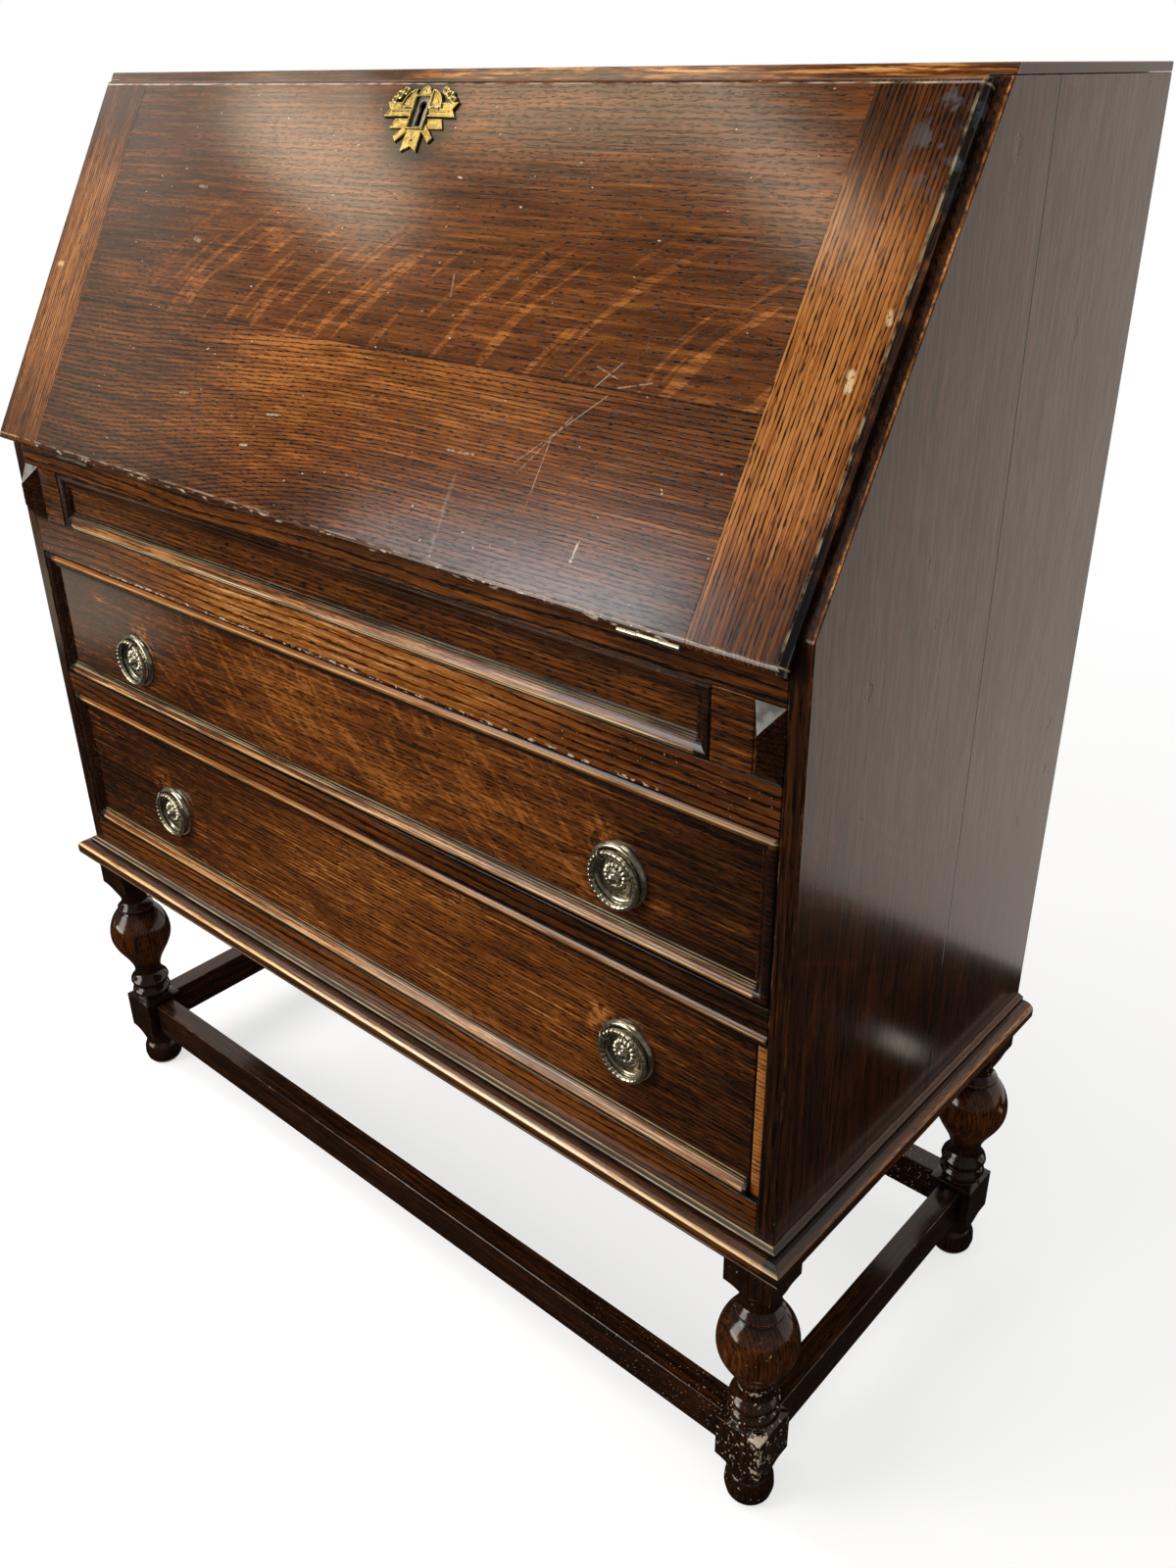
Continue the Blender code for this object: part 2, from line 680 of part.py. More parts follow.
def fall_blank(x, length, left_edge, right_edge):
    """A piece of the fall before it is rebated, with the thumbnail on its ends and on the edges asked for."""
    rings = []
    for inset, out in fall_edge():
        x0 = x[0] + inset * left_edge
        x1 = x[1] - inset * right_edge
        low, high = inset, length - inset
        rings.append([(x0, low, out), (x1, low, out), (x1, high, out), (x0, high, out)])
    return loft(rings)


def keyhole(depth):
    """A round hole with a slot below it, about its own round centre."""
    half = KEYHOLE_SLOT / 2
    start = math.asin(half / KEYHOLE_RADIUS)
    arc = []
    for i in range(KEYHOLE_STEPS + 1):
        angle = -math.pi / 2 + start + (2 * math.pi - 2 * start) * i / KEYHOLE_STEPS
        arc.append((KEYHOLE_RADIUS * math.cos(angle), KEYHOLE_RADIUS * math.sin(angle)))
    slot_end = KEYHOLE_RADIUS - KEYHOLE_LENGTH
    return prism_z([*arc, (-half, slot_end), (half, slot_end)], depth)


def escutcheon_outline():
    """The strapwork plate about the middle of its crest: crest, scrolls, forked straps and a forked tail."""
    right = [(x, -drop) for x, drop in CREST]
    for x, drop, radius, first, last in SCROLLS:
        for i in range(ARC_STEPS + 1):
            angle = math.radians(first + (last - first) * i / ARC_STEPS)
            right.append((x + radius * math.cos(angle), radius * math.sin(angle) - drop))
    right += [(x, -drop) for x, drop in STRAPS]
    return right + [(-x, y) for x, y in reversed(right[1:-1])]


def make_fall(looks, bed, top):
    body_end, lip_end = fall_sizes()
    fall = empty("fall_hinge", (0, Y_HINGE, Z_DESK), (SLOPE, 0, 0))
    half = X_IN + FALL_SIDE_LAP
    body_half = X_IN - RUN
    joint = half - CLEAT_WIDTH
    pieces = {
        "fall_panel": ((-joint, joint), 0, 0),
        "fall_cleat_left": ((-half, -joint - GAP), 1, 0),
        "fall_cleat_right": ((joint + GAP, half), 0, 1),
    }
    seat = FALL_BODY + GAP
    top_rebate = box((-half - seat, half + seat), (body_end, lip_end + seat), (-seat, seat))
    top_rebate = helper("fall_top_rebate", top_rebate, fall)
    made = {}
    for name, (x, left_edge, right_edge) in pieces.items():
        made[name] = add(name, fall_blank(x, lip_end, left_edge, right_edge), looks["fall"], fall)
        combine(made[name], top_rebate, "DIFFERENCE")
    for side_name, x in (("left", (-half - seat, -body_half)), ("right", (body_half, half + seat))):
        rebate = box(x, (-seat, lip_end + seat), (-seat, seat))
        rebate = helper(f"fall_rebate_{side_name}", rebate, fall)
        combine(made[f"fall_cleat_{side_name}"], rebate, "DIFFERENCE")
    panel = made["fall_panel"]
    make_lock(looks, fall, panel, top, body_end, lip_end)
    make_hinges(looks, fall, panel, bed, joint - HINGE_FROM_CLEAT - HINGE_LENGTH / 2)


def make_lock(looks, fall, panel, top, body_end, lip_end):
    foot = body_end - LOCK_HEIGHT
    half = LOCK_WIDTH / 2
    pocket = box((-half - GAP, half + GAP), (foot - GAP, lip_end), (-LOCK_DEPTH, LOCK_DEPTH + GAP))
    combine(panel, helper("lock_pocket", pocket, fall), "DIFFERENCE")
    case = add("lock_case", box((-half, half), (foot, body_end), (0.0, LOCK_DEPTH)), looks["brass"], fall)
    bolt_x = (-BOLT_WIDTH / 2, BOLT_WIDTH / 2)
    bolt_out = (BOLT_FROM_FACE, BOLT_FROM_FACE + BOLT_THICKNESS)
    channel_x = (bolt_x[0] - GAP, bolt_x[1] + GAP)
    channel_out = (bolt_out[0] - GAP, bolt_out[1] + GAP)
    channel = box(channel_x, (body_end - BOLT_LENGTH - GAP, lip_end), channel_out)
    combine(case, helper("bolt_channel", channel, fall), "DIFFERENCE")
    slide = empty("lock_bolt_slide", (0, body_end, 0), parent=fall)
    add("lock_bolt", box(bolt_x, (-BOLT_LENGTH, 0.0), bolt_out), looks["steel"], slide)
    room = MORTISE_CLEARANCE
    mortise_x = (bolt_x[0] - room, bolt_x[1] + room)
    mortise_out = (bolt_out[0] - room, bolt_out[1] + room)
    mortise = box(mortise_x, (foot, body_end + BOLT_TRAVEL + room), mortise_out)
    combine(top, helper("bolt_mortise", mortise, fall), "DIFFERENCE")

    plate_top = lip_end - ESCUTCHEON_BELOW_TOP
    plate_out = (FALL_THICKNESS + GAP, FALL_THICKNESS + GAP + ESCUTCHEON_THICKNESS)
    plate = prism_z(escutcheon_outline(), plate_out)
    plate = add("escutcheon", plate, looks["brass"], fall, at=(0, plate_top, 0))
    hole = keyhole((LOCK_DEPTH, FALL_THICKNESS + 2 * ESCUTCHEON_THICKNESS))
    hole = helper("keyhole", hole, fall, at=(0, plate_top - KEYHOLE_DROP, 0))
    combine(plate, hole, "DIFFERENCE")
    combine(panel, hole, "DIFFERENCE")


def make_hinges(looks, fall, panel, bed, centre):
    half, middle = HINGE_LENGTH / 2, HINGE_MIDDLE / 2
    knuckle, pin = HINGE_KNUCKLE_RADIUS, HINGE_PIN_RADIUS
    thick, reach = HINGE_LEAF_THICKNESS, HINGE_LEAF
    clear = knuckle + GAP
    spindle_profile = [
        (knuckle, -half),
        (knuckle, -middle - GAP),
        (pin, -middle - GAP),
        (pin, middle + GAP),
        (knuckle, middle + GAP),
        (knuckle, half),
    ]
    bore = pin + HINGE_PIN_CLEARANCE
    root = (bore + knuckle) / 2
    tube_profile = [(knuckle, -middle), (knuckle, middle), (bore, middle), (bore, -middle)]
    notch = middle + GAP
    for side_name, sign in (("left", -1), ("right", 1)):
        at = (sign * centre, Y_HINGE, Z_DESK)
        plate = [(-half, 0), (-notch, 0), (-notch, clear), (notch, clear), (notch, 0), (half, 0)]
        plate = prism_z([*plate, (half, reach), (-half, reach)], (-thick, 0.0))
        leaf = add(f"hinge_{side_name}_bed_leaf", plate, looks["brass"], at=at)
        spindle = along_x(turned(spindle_profile, HINGE_SEGMENTS))
        combine(leaf, helper(f"hinge_{side_name}_spindle", spindle, at=at), "UNION")
        seat = box((-half - GAP, half + GAP), (-clear, reach + GAP), (-thick - GAP, knuckle))
        combine(bed, helper(f"hinge_{side_name}_bed_seat", seat, at=at), "DIFFERENCE")

        at = (sign * centre, 0, 0)
        tongue = [(-middle, clear), (-middle, root), (middle, root), (middle, clear)]
        plate = [(-half, clear), *tongue, (half, clear), (half, reach), (-half, reach)]
        plate = prism_z(plate, (0.0, thick))
        leaf = add(f"hinge_{side_name}_fall_leaf", plate, looks["brass"], fall, at=at)
        tube = along_x(turned(tube_profile, HINGE_SEGMENTS, closed=True))
        combine(leaf, helper(f"hinge_{side_name}_tube", tube, fall, at=at), "UNION")
        seat = box((-half - GAP, half + GAP), (-clear, reach + GAP), (-thick, thick + GAP))
        combine(panel, helper(f"hinge_{side_name}_fall_seat", seat, fall, at=at), "DIFFERENCE")
        groove = along_x(turned([(clear, -half - GAP), (clear, half + GAP)], HINGE_SEGMENTS))
        combine(panel, helper(f"hinge_{side_name}_groove", groove, fall, at=at), "DIFFERENCE")


# Drawers and ring pulls
def make_drawer(looks, level, z, opening):
    """A drawer box with its moulded front and its two ring pulls, under an empty at its low front edge."""
    slide = empty(f"drawer_{level}_slide", (0, Y_FRONT, z))
    name = f"drawer_{level}"
    half = X_IN - RUN
    low, high = GAP, opening - RUN
    front_y = (MOULD_DEPTH, MOULD_DEPTH + DRAWER_FRONT)
    back_y = Y_INSIDE - Y_FRONT - DRAWER_BACK_SPACE
    side_top = high - DRAWER_SIDE_DROP
    front = box((-half, half), front_y, (low, high), EDGE_EASE)
    add(f"{name}_front", front, looks["drawer"], slide)
    build = mould_frame if level == "upper" else mould_open
    mould = build(mould_profile(True), (-half, half), (low, high), MOULD_DEPTH)
    add(f"{name}_moulding", mould, looks["mould"], slide)
    box_y = (front_y[1] + GAP, back_y)
    for side_name, x in (("left", (-half, -half + DRAWER_SIDE)), ("right", (half - DRAWER_SIDE, half))):
        add(f"{name}_side_{side_name}", box(x, box_y, (low, side_top)), looks["inside"], slide)
    inner = (-half + DRAWER_SIDE + GAP, half - DRAWER_SIDE - GAP)
    floor = low + DRAWER_BOTTOM_RAISE
    bottom_y = (front_y[1] + GAP, back_y - GAP)
    add(f"{name}_bottom", box(inner, bottom_y, (floor, floor + DRAWER_BOTTOM)), looks["inside"], slide)
    tail_y = (back_y - DRAWER_BACK, back_y)
    tail_z = (floor + DRAWER_BOTTOM + GAP, side_top)
    add(f"{name}_back", box(inner, tail_y, tail_z), looks["inside"], slide)
    for side_name, sign in (("left", -1), ("right", 1)):
        inset, drop, turn = PULLS[f"{level}_{side_name}"]
        centre = (sign * (half - inset), MOULD_DEPTH - GAP, opening / 2 - drop)
        make_pull(looks, slide, f"{level}_{side_name}", centre, math.radians(turn))


def plate_profile():
    """(radius, height) of the rosette plate, from the edge of its back over the rim to the boss."""
    rim = PLATE_RADIUS - PLATE_RIM_EASE
    return [
        (rim, 0.0),
        (PLATE_RADIUS, PLATE_RIM_EASE),
        (PLATE_RADIUS, PLATE_RIM - PLATE_RIM_EASE),
        (rim, PLATE_RIM),
        (rim - PLATE_RIM_WIDTH, PLATE_RIM),
        (rim - PLATE_RIM_WIDTH - PLATE_RIM_EASE, PLATE_COVE),
        (PETAL_RADIUS + PETAL_SLOPE, PLATE_COVE),
        (PETAL_RADIUS, PETAL_HEIGHT),
        (BOSS_RADIUS + PLATE_RIM_EASE, PETAL_HEIGHT),
        *quarter((BOSS_RADIUS, PETAL_HEIGHT + PLATE_RIM_EASE), (PLATE_RIM_EASE, BOSS_HEIGHT), False),
    ]


def make_pull(looks, slide, place, centre, turn):
    """A rosette plate with an eye at its edge, and the ring that hangs in the eye."""
    stand = (math.pi / 2, turn, 0)
    plate = turned(plate_profile(), PULL_SEGMENTS)
    plate = add(f"pull_{place}_plate", plate, looks["pull"], slide, centre, stand, smooth=True)
    bore = RING_TUBE + EYE_CLEARANCE
    outer = bore + EYE_WALL
    eye_y = (PIVOT_RADIUS - outer, PIVOT_RADIUS + outer)
    eye = box((-EYE_WIDTH / 2, EYE_WIDTH / 2), eye_y, (PLATE_COVE / 2, RING_HEIGHT + outer))
    combine(plate, helper(f"pull_{place}_eye", eye, slide, centre, stand), "UNION")
    hole = along_x(turned([(bore, -EYE_WIDTH), (bore, EYE_WIDTH)], HINGE_SEGMENTS))
    for vert in hole.verts:
        vert.co.y += PIVOT_RADIUS
        vert.co.z += RING_HEIGHT
    combine(plate, helper(f"pull_{place}_hole", hole, slide, centre, stand), "DIFFERENCE")

    pivot = (
        centre[0] + PIVOT_RADIUS * math.sin(turn),
        centre[1] - RING_HEIGHT,
        centre[2] + PIVOT_RADIUS * math.cos(turn),
    )
    hinge = empty(f"pull_{place}_pivot", pivot, stand, slide)
    tube = [(RING_RADIUS + x, y) for x, y in circle(RING_TUBE, TUBE_SEGMENTS)]
    ring = turned(tube, PULL_SEGMENTS, closed=True)
    add(f"pull_{place}_ring", ring, looks["pull"], hinge, at=(0, -RING_RADIUS, 0), smooth=True)


def main():
    for old in list(bpy.data.objects):
        bpy.data.objects.remove(old)
    looks = make_materials()
    bed, top = make_case(looks)
    make_pigeonholes(looks)
    make_frieze(looks)
    make_lopers(looks)
    make_base_moulding(looks)
    make_stand(looks)
    make_fall(looks, bed, top)
    make_drawer(looks, "upper", Z_UPPER, UPPER_OPENING)
    make_drawer(looks, "lower", Z_LOWER, LOWER_OPENING)


main()
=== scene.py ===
"""Dark stained oak bureau: finishes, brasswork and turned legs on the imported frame, for one picture."""

import json
import math

import bmesh
import bpy
from mathutils import Euler, Matrix, Vector
from mathutils.geometry import tessellate_polygon


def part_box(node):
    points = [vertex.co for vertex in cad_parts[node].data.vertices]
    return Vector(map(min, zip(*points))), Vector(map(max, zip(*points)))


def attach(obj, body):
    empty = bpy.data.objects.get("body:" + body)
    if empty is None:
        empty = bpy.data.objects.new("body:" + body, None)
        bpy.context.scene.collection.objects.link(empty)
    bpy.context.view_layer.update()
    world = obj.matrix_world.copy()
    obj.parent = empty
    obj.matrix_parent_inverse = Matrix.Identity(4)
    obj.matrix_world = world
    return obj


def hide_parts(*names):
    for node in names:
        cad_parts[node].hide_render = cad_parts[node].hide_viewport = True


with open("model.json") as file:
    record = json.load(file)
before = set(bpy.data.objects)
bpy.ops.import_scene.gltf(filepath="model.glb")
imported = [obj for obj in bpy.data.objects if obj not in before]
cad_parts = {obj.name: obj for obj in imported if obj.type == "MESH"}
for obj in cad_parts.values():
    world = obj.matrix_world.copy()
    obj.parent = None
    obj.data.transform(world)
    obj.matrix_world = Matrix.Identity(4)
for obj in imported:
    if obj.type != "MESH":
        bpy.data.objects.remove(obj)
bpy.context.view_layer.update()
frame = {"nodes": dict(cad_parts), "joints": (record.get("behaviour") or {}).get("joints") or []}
nodes = frame["nodes"]
joints = {joint["name"]: joint for joint in frame["joints"]}

# Places read from the frame
SIDE_LOW, SIDE_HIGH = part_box("side_right")
X_OUT = SIDE_HIGH.x
Y_FRONT = SIDE_LOW.y
Z_CASE = SIDE_LOW.z
PIN = Vector(joints["fall_hinge"]["pos_m"])
UP_SLOPE = Vector(joints["lock_bolt_slide"]["axis"])
SLOPE = math.atan2(UP_SLOPE.z, UP_SLOPE.y)
OUT_OF_SLOPE = Vector((0, -math.sin(SLOPE), math.cos(SLOPE)))
FALL_FACE = max((v.co - PIN).dot(OUT_OF_SLOPE) for v in nodes["fall_panel"].data.vertices)
PLATE_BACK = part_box("pull_upper_left_plate")[1].y
LEVELS = ("upper", "lower")
SIDES = ("left", "right")

# Camera of the photograph, measured from the front of the case and the floor
CAMERA_FROM_FRONT = Vector((0.82866, -0.60678, 1.06787))
CAMERA_TURN = (62.40547, 0.49129, 40.97239)
FOCAL_PIXELS = 1368.737
PICTURE = (1200, 1600)
PRINCIPAL_POINT = (613.756, 788.208)
SENSOR = 36.0
CAMERA = CAMERA_FROM_FRONT + Vector((0, Y_FRONT, 0))

# Legs, as in the part
LEG_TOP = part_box("leg_front_left")[1].z
LEG_BLOCK = 0.0215
UPPER_BLOCK = 0.2525
LOWER_BLOCK = (0.0945, 0.050)
BULB = (0.1835, 0.0335)
NECK = (0.1315, 0.0145)
UPPER_TURNING = [(0.2470, 0.0202, 0.55), (0.2400, 0.0172, 0), (0.2345, 0.0147, 0), (0.2300, 0.0139, 0),
                 (0.2260, 0.0151, 0), (0.2225, 0.0180, 0), (0.2205, 0.0199, 0), (0.2185, 0.0199, 0),
                 (0.2177, 0.0182, 0)]
LOWER_TURNING = [(0.1245, 0.0176, 0), (0.1215, 0.0207, 0), (0.1185, 0.0215, 0), (0.1145, 0.0200, 0),
                 (0.1110, 0.0176, 0), (0.1075, 0.0207, 0), (0.1045, 0.0215, 0), (0.1005, 0.0200, 0),
                 (0.0968, 0.0188, 0)]
FOOT_TURNING = [(0.0420, 0.0200, 0.5), (0.0330, 0.0176, 0), (0.0285, 0.0168, 0), (0.0262, 0.0184, 0),
                (0.0200, 0.0206, 0), (0.0120, 0.0212, 0), (0.0050, 0.0196, 0), (0.0, 0.0164, 0)]
LEG_SEGMENTS = 64
BULB_STEPS = 14

# Pulls: the plate's section from the middle out, and its ring
PLATE_SECTION = [
    (0.0000, 0.0098), (0.0012, 0.0097), (0.0024, 0.0093), (0.0035, 0.0085), (0.0043, 0.0073),
    (0.0048, 0.0058), (0.0052, 0.0050), (0.0056, 0.0048), (0.0059, 0.0051), (0.0063, 0.0052),
    (0.0067, 0.0048), (0.0070, 0.0045), (0.0073, 0.0052), (0.0086, 0.0053), (0.0100, 0.0049),
    (0.0113, 0.0042), (0.0122, 0.0032), (0.0127, 0.0018), (0.0132, 0.0012), (0.0150, 0.0010),
    (0.0180, 0.0010), (0.0196, 0.0012), (0.0204, 0.0019), (0.0209, 0.0028), (0.0217, 0.0034),
    (0.0229, 0.0038), (0.0242, 0.0036), (0.0253, 0.0028), (0.0261, 0.0014), (0.0264, 0.0000)]
PETALS = 16
PETAL_BAND = (0.0073, 0.0122)
PETAL_DEPTH = 0.0012
PLATE_SEGMENTS = 144
RING_RADIUS = 0.0212
RING_TUBE = 0.0026
RING_HEIGHT = 0.0068
LEAVES = 30
EYE_RADIUS = 0.0036
EYE_TUBE = 0.00075
PIVOT_RADIUS = 0.0197
EYE_STEPS = (32, 12)
RING_STEPS = (240, 20)
CARVED_EDGE = 50.0


class Value:
    """What a node gives; arithmetic on it adds further nodes."""

    def __init__(self, graph, socket):
        self.graph = graph
        self.socket = socket

    def __add__(self, other):
        return self.graph.math("ADD", self, other)

    def __sub__(self, other):
        return self.graph.math("SUBTRACT", self, other)

    def __rsub__(self, other):
        return self.graph.math("SUBTRACT", other, self)

    def __mul__(self, other):
        return self.graph.math("MULTIPLY", self, other)

    def __truediv__(self, other):
        return self.graph.math("DIVIDE", self, other)

    def __abs__(self):
        return self.graph.math("ABSOLUTE", self)

    __radd__ = __add__
    __rmul__ = __mul__


class Graph:
    """The node tree of a material or of the world, with short calls for the nodes used here."""

    def __init__(self, owner):
        owner.use_nodes = True
        self.owner = owner
        self.tree = owner.node_tree
        self.shader = self.tree.nodes.get("Principled BSDF")

    def feed(self, socket, value):
        if isinstance(value, Value):
            value = value.socket
        if isinstance(value, bpy.types.NodeSocket):
            self.tree.links.new(value, socket)
        else:
            socket.default_value = value

    def node(self, kind, inputs=None, **settings):
        made = self.tree.nodes.new("ShaderNode" + kind)
        for key, value in settings.items():
            setattr(made, key, value)
        for key, value in (inputs or {}).items():
            self.feed(made.inputs[key], value)
        return made

    def value(self, kind, inputs=None, output=0, **settings):
        return Value(self, self.node(kind, inputs, **settings).outputs[output])

    def place(self):
        """The point on the object at rest, in metres in the frame."""
        return self.value("TexCoord", output="Object")

    def normal(self):
        return self.value("NewGeometry", output="Normal")

    def split(self, vector):
        return [Value(self, socket) for socket in self.node("SeparateXYZ", {0: vector}).outputs]

    def join(self, x, y, z):
        return self.value("CombineXYZ", {0: x, 1: y, 2: z})

    def vector(self, operation, a, b):
        return self.value("VectorMath", {0: a, 1: b}, operation=operation)

    def measure(self, operation, a, b=(0, 0, 0)):
        return self.value("VectorMath", {0: a, 1: b}, "Value", operation=operation)

    def math(self, operation, a, b=0.0):
        return self.value("Math", {0: a, 1: b}, operation=operation)

    def facing(self, direction):
        """1 where a face looks straight in a direction, less where it turns away."""
        return self.measure("DOT_PRODUCT", self.normal(), direction)

    def most(self, *terms):
        total = terms[0]
        for term in terms[1:]:
            total = self.math("MAXIMUM", total, term)
        return total

    def step(self, value, low, high, start=0.0, end=1.0):
        """A smooth step from start to end between two values, which may fall."""
        inputs = {"Value": value, "From Min": low, "From Max": high, "To Min": start, "To Max": end}
        return self.value("MapRange", inputs, interpolation_type="SMOOTHSTEP")

    def band(self, value, low, high, soft):
        """1 between two values, fading out over the soft width."""
        return self.step(value, low - soft, low) * self.step(value, high + soft, high)

    def noise(self, vector, scale, detail=2.0, roughness=0.5):
        """Noise of a scale, which is one number or one for each axis."""
        scale = scale if isinstance(scale, tuple) else (scale, scale, scale)
        inputs = {"Vector": self.vector("MULTIPLY", vector, scale), "Scale": 1.0, "Detail": detail}
        inputs["Roughness"] = roughness
        return self.value("TexNoise", inputs, "Fac")

    def patches(self, vector, scale, low, high, start=0.0, end=1.0, detail=2.0, roughness=0.5):
        """Noise made into patches by a smooth step."""
        return self.step(self.noise(vector, scale, detail, roughness), low, high, start, end)

    def mix(self, share, a, b):
        made = self.node("Mix", data_type="RGBA")
        for index, value in ((0, share), (6, a), (7, b)):
            if isinstance(value, tuple):
                value = (*value, 1.0)
            self.feed(made.inputs[index], value)
        return Value(self, made.outputs[2])

    def ramp(self, value, stops):
        made = self.node("ValToRGB", {0: value})
        stem = made.color_ramp.elements
        stem[0].position, stem[0].color = stops[0][0], (*stops[0][1], 1.0)
        stem[1].position, stem[1].color = stops[-1][0], (*stops[-1][1], 1.0)
        for position, colour in stops[1:-1]:
            stem.new(position).color = (*colour, 1.0)
        return Value(self, made.outputs[0])

    def curve(self, value, points):
        """A broken line through (value, height) points, as a ramp between its lowest and highest."""
        low, high = min(h for _, h in points), max(h for _, h in points)
        start, end = points[0][0], points[-1][0]
        stops = [((v - start) / (end - start), ((h - low) / (high - low),) * 3) for v, h in points]
        return self.ramp((value - start) / (end - start), stops) * (high - low) + low

    def near(self, point, centre, reach, soft):
        """1 within reach of a place, fading out over the soft width."""
        return self.step(self.measure("DISTANCE", point, centre), reach + soft, reach)

    def stroke(self, point, start, end, width):
        """1 on a straight stroke between two places."""
        run = Vector(end) - Vector(start)
        from_start = self.vector("SUBTRACT", point, tuple(start))
        share = self.measure("DOT_PRODUCT", from_start, tuple(run)) / run.length_squared
        share = self.math("MINIMUM", self.most(share, 0.0), 1.0)
        foot = self.value("VectorMath", {0: tuple(run), "Scale": share}, operation="SCALE")
        return self.step(self.measure("DISTANCE", from_start, foot), width, width * 0.2)

    def corners(self, radius):
        """How near a point is to an edge of its own solid, and the normal with that edge eased."""
        eased = self.value("Bevel", {"Radius": radius}, samples=4)
        return self.step(self.measure("DOT_PRODUCT", eased, self.normal()), 0.985, 0.80), eased

    def shelter(self, distance):
        """0 in the open and 1 deep in a corner."""
        return 1.0 - self.value("AmbientOcclusion", {"Distance": distance}, "AO", samples=4)

    def bump(self, height, distance, normal):
        return self.value("Bump", {"Height": height, "Distance": distance, "Normal": normal})

    def look(self, settings):
        """Set inputs of the material's own shader."""
        for name, value in settings.items():
            self.feed(self.shader.inputs[name], value)
        return self.owner

    def surface(self, node, output="Material Output"):
        self.tree.links.new(node.outputs[0], self.tree.nodes[output].inputs["Surface"])


# Oak: one stain, from black in the pores to the pale wood of worn edges, picked by a level from 0 to 1
STAIN = [
    (0.00, (0.004, 0.0025, 0.0018)), (0.22, (0.020, 0.0075, 0.0032)), (0.45, (0.070, 0.020, 0.0045)),
    (0.65, (0.165, 0.050, 0.0085)), (0.82, (0.33, 0.115, 0.022)), (1.00, (0.62, 0.36, 0.14))]
INSIDE = [(0.0, (0.10, 0.055, 0.025)), (0.5, (0.30, 0.175, 0.085)), (1.0, (0.46, 0.30, 0.16))]
PALE = (0.62, 0.50, 0.38)
# GILT is the pale gold of worn edges, and also the colour of the painted highlight lines on the mouldings
GILT = (0.88, 0.68, 0.36)
GRAIN_ORDER = {"x": (0, 2, 1), "y": (1, 2, 0), "z": (2, 1, 0), "slope": (0, 1, 2), "cleat": (1, 0, 2)}


def on_fall(graph, place):
    """The point as (across, up the slope, out of it) from the hinge pin of the fall at rest."""
    moved = graph.vector("SUBTRACT", place, tuple(PIN))
    return graph.value("Mapping", {"Vector": moved, "Rotation": (-SLOPE, 0.0, 0.0)})


def in_frame(graph, place):
    return place


def oak(name, grain, level, seed=0.0, spacing=0.0038, wander=2.5, rings=0.10, pores=0.28,
        pore_length=0.011, pore_width=0.0011, streaks=0.66, cloud=0.34, scuffs=0.0, gloss=0.12,
        shine=0.35, wear=0.45, ease=0.0009, relief=0.00005, coat=0.25, sweep=None, extra=None,
        flecks_and_highlights=None, tint=None, dull=None, dents=None, point=in_frame, stain=STAIN, pale=PALE, cap=1.0):
    """Stained oak with its grain along an axis and painted shade in its corners; extra adds to the level,
    specks and a tint lie over it, and on some parts these carry painted shade, painted highlights or a
    painted sheen.
    """
    graph = Graph(bpy.data.materials.new(name))
    place = point(graph, graph.place())
    parts = graph.split(place)
    board = graph.join(*[parts[i] for i in GRAIN_ORDER[grain]])
    board = graph.vector("ADD", board, (seed, 0.37 * seed, 0.61 * seed))
    across = graph.measure("DOT_PRODUCT", board, (0.0, 1.0, 0.55))
    if sweep is not None:
        across = across - sweep(graph, parts)
    if callable(rings):
        rings = rings(graph, parts)
    drift = graph.noise(board, (1.8, 6.0, 6.0))
    ripple = graph.noise(board, (16.0, 80.0, 80.0), detail=1.0)
    phase = across * (1 / spacing) + drift * wander + ripple * 0.5
    wave = graph.math("SINE", phase * (2 * math.pi))
    dash = graph.noise(board, (1 / pore_length, 1 / pore_width, 1 / pore_width), detail=2.0)
    ring = graph.step(wave + dash * 0.7, 0.92, 1.36) * rings
    pore = graph.step(dash + wave * 0.07, 0.54, 0.68)
    streak = graph.noise(board, (13.0, 320.0, 320.0), detail=3.0, roughness=0.75)
    patch = graph.noise(board, (4.5, 16.0, 16.0), detail=4.0, roughness=0.6)
    scuff = graph.patches(board, (40.0, 330.0, 330.0), 0.54, 0.66, detail=3.0)
    scuff = scuff * graph.step(patch, 0.44, 0.6) * scuffs
    tone = level + (patch - 0.5) * cloud + (streak - 0.5) * streaks
    if extra is not None:
        tone = tone + extra(graph, place, parts)
    tone = graph.math("MINIMUM", tone + scuff, cap)
    tone = tone - pore * pores - ring
    corner, eased = graph.corners(ease)
    corner = corner * graph.patches(place, 55, 0.36, 0.62, detail=3.0)
    # Worn edges are lighter; corners and recesses are darker by painted shade
    tone = tone + corner * wear - graph.shelter(0.014) * 0.36
    colour = graph.ramp(tone, stain)
    if tint is not None:
        colour = tint(graph, colour, place, parts)
    # Pale chips at the edges and, on mouldings and the base, painted highlight lines, all mixed towards
    # the pale colour
    chips_and_highlights = corner * graph.patches(place, 190, 0.62, 0.7, detail=1.0) * wear
    if flecks_and_highlights is not None:
        chips_and_highlights = graph.most(chips_and_highlights, flecks_and_highlights(graph, place, parts))
    colour = graph.mix(chips_and_highlights, colour, pale)
    height = streak * 0.7 - pore * 0.25
    normal = graph.bump(height, relief, eased)
    if dents is not None:
        normal = graph.bump(1.0 - dents(graph, place, parts), 0.0007, normal)
    rough = gloss + patch * 0.06
    if dull is not None:
        rough = rough + dull(graph, place, parts)
    return graph.look({"Base Color": colour, "Roughness": rough, "Normal": normal, "Coat Weight": coat,
                       "Coat Roughness": 0.10, "Specular IOR Level": shine})


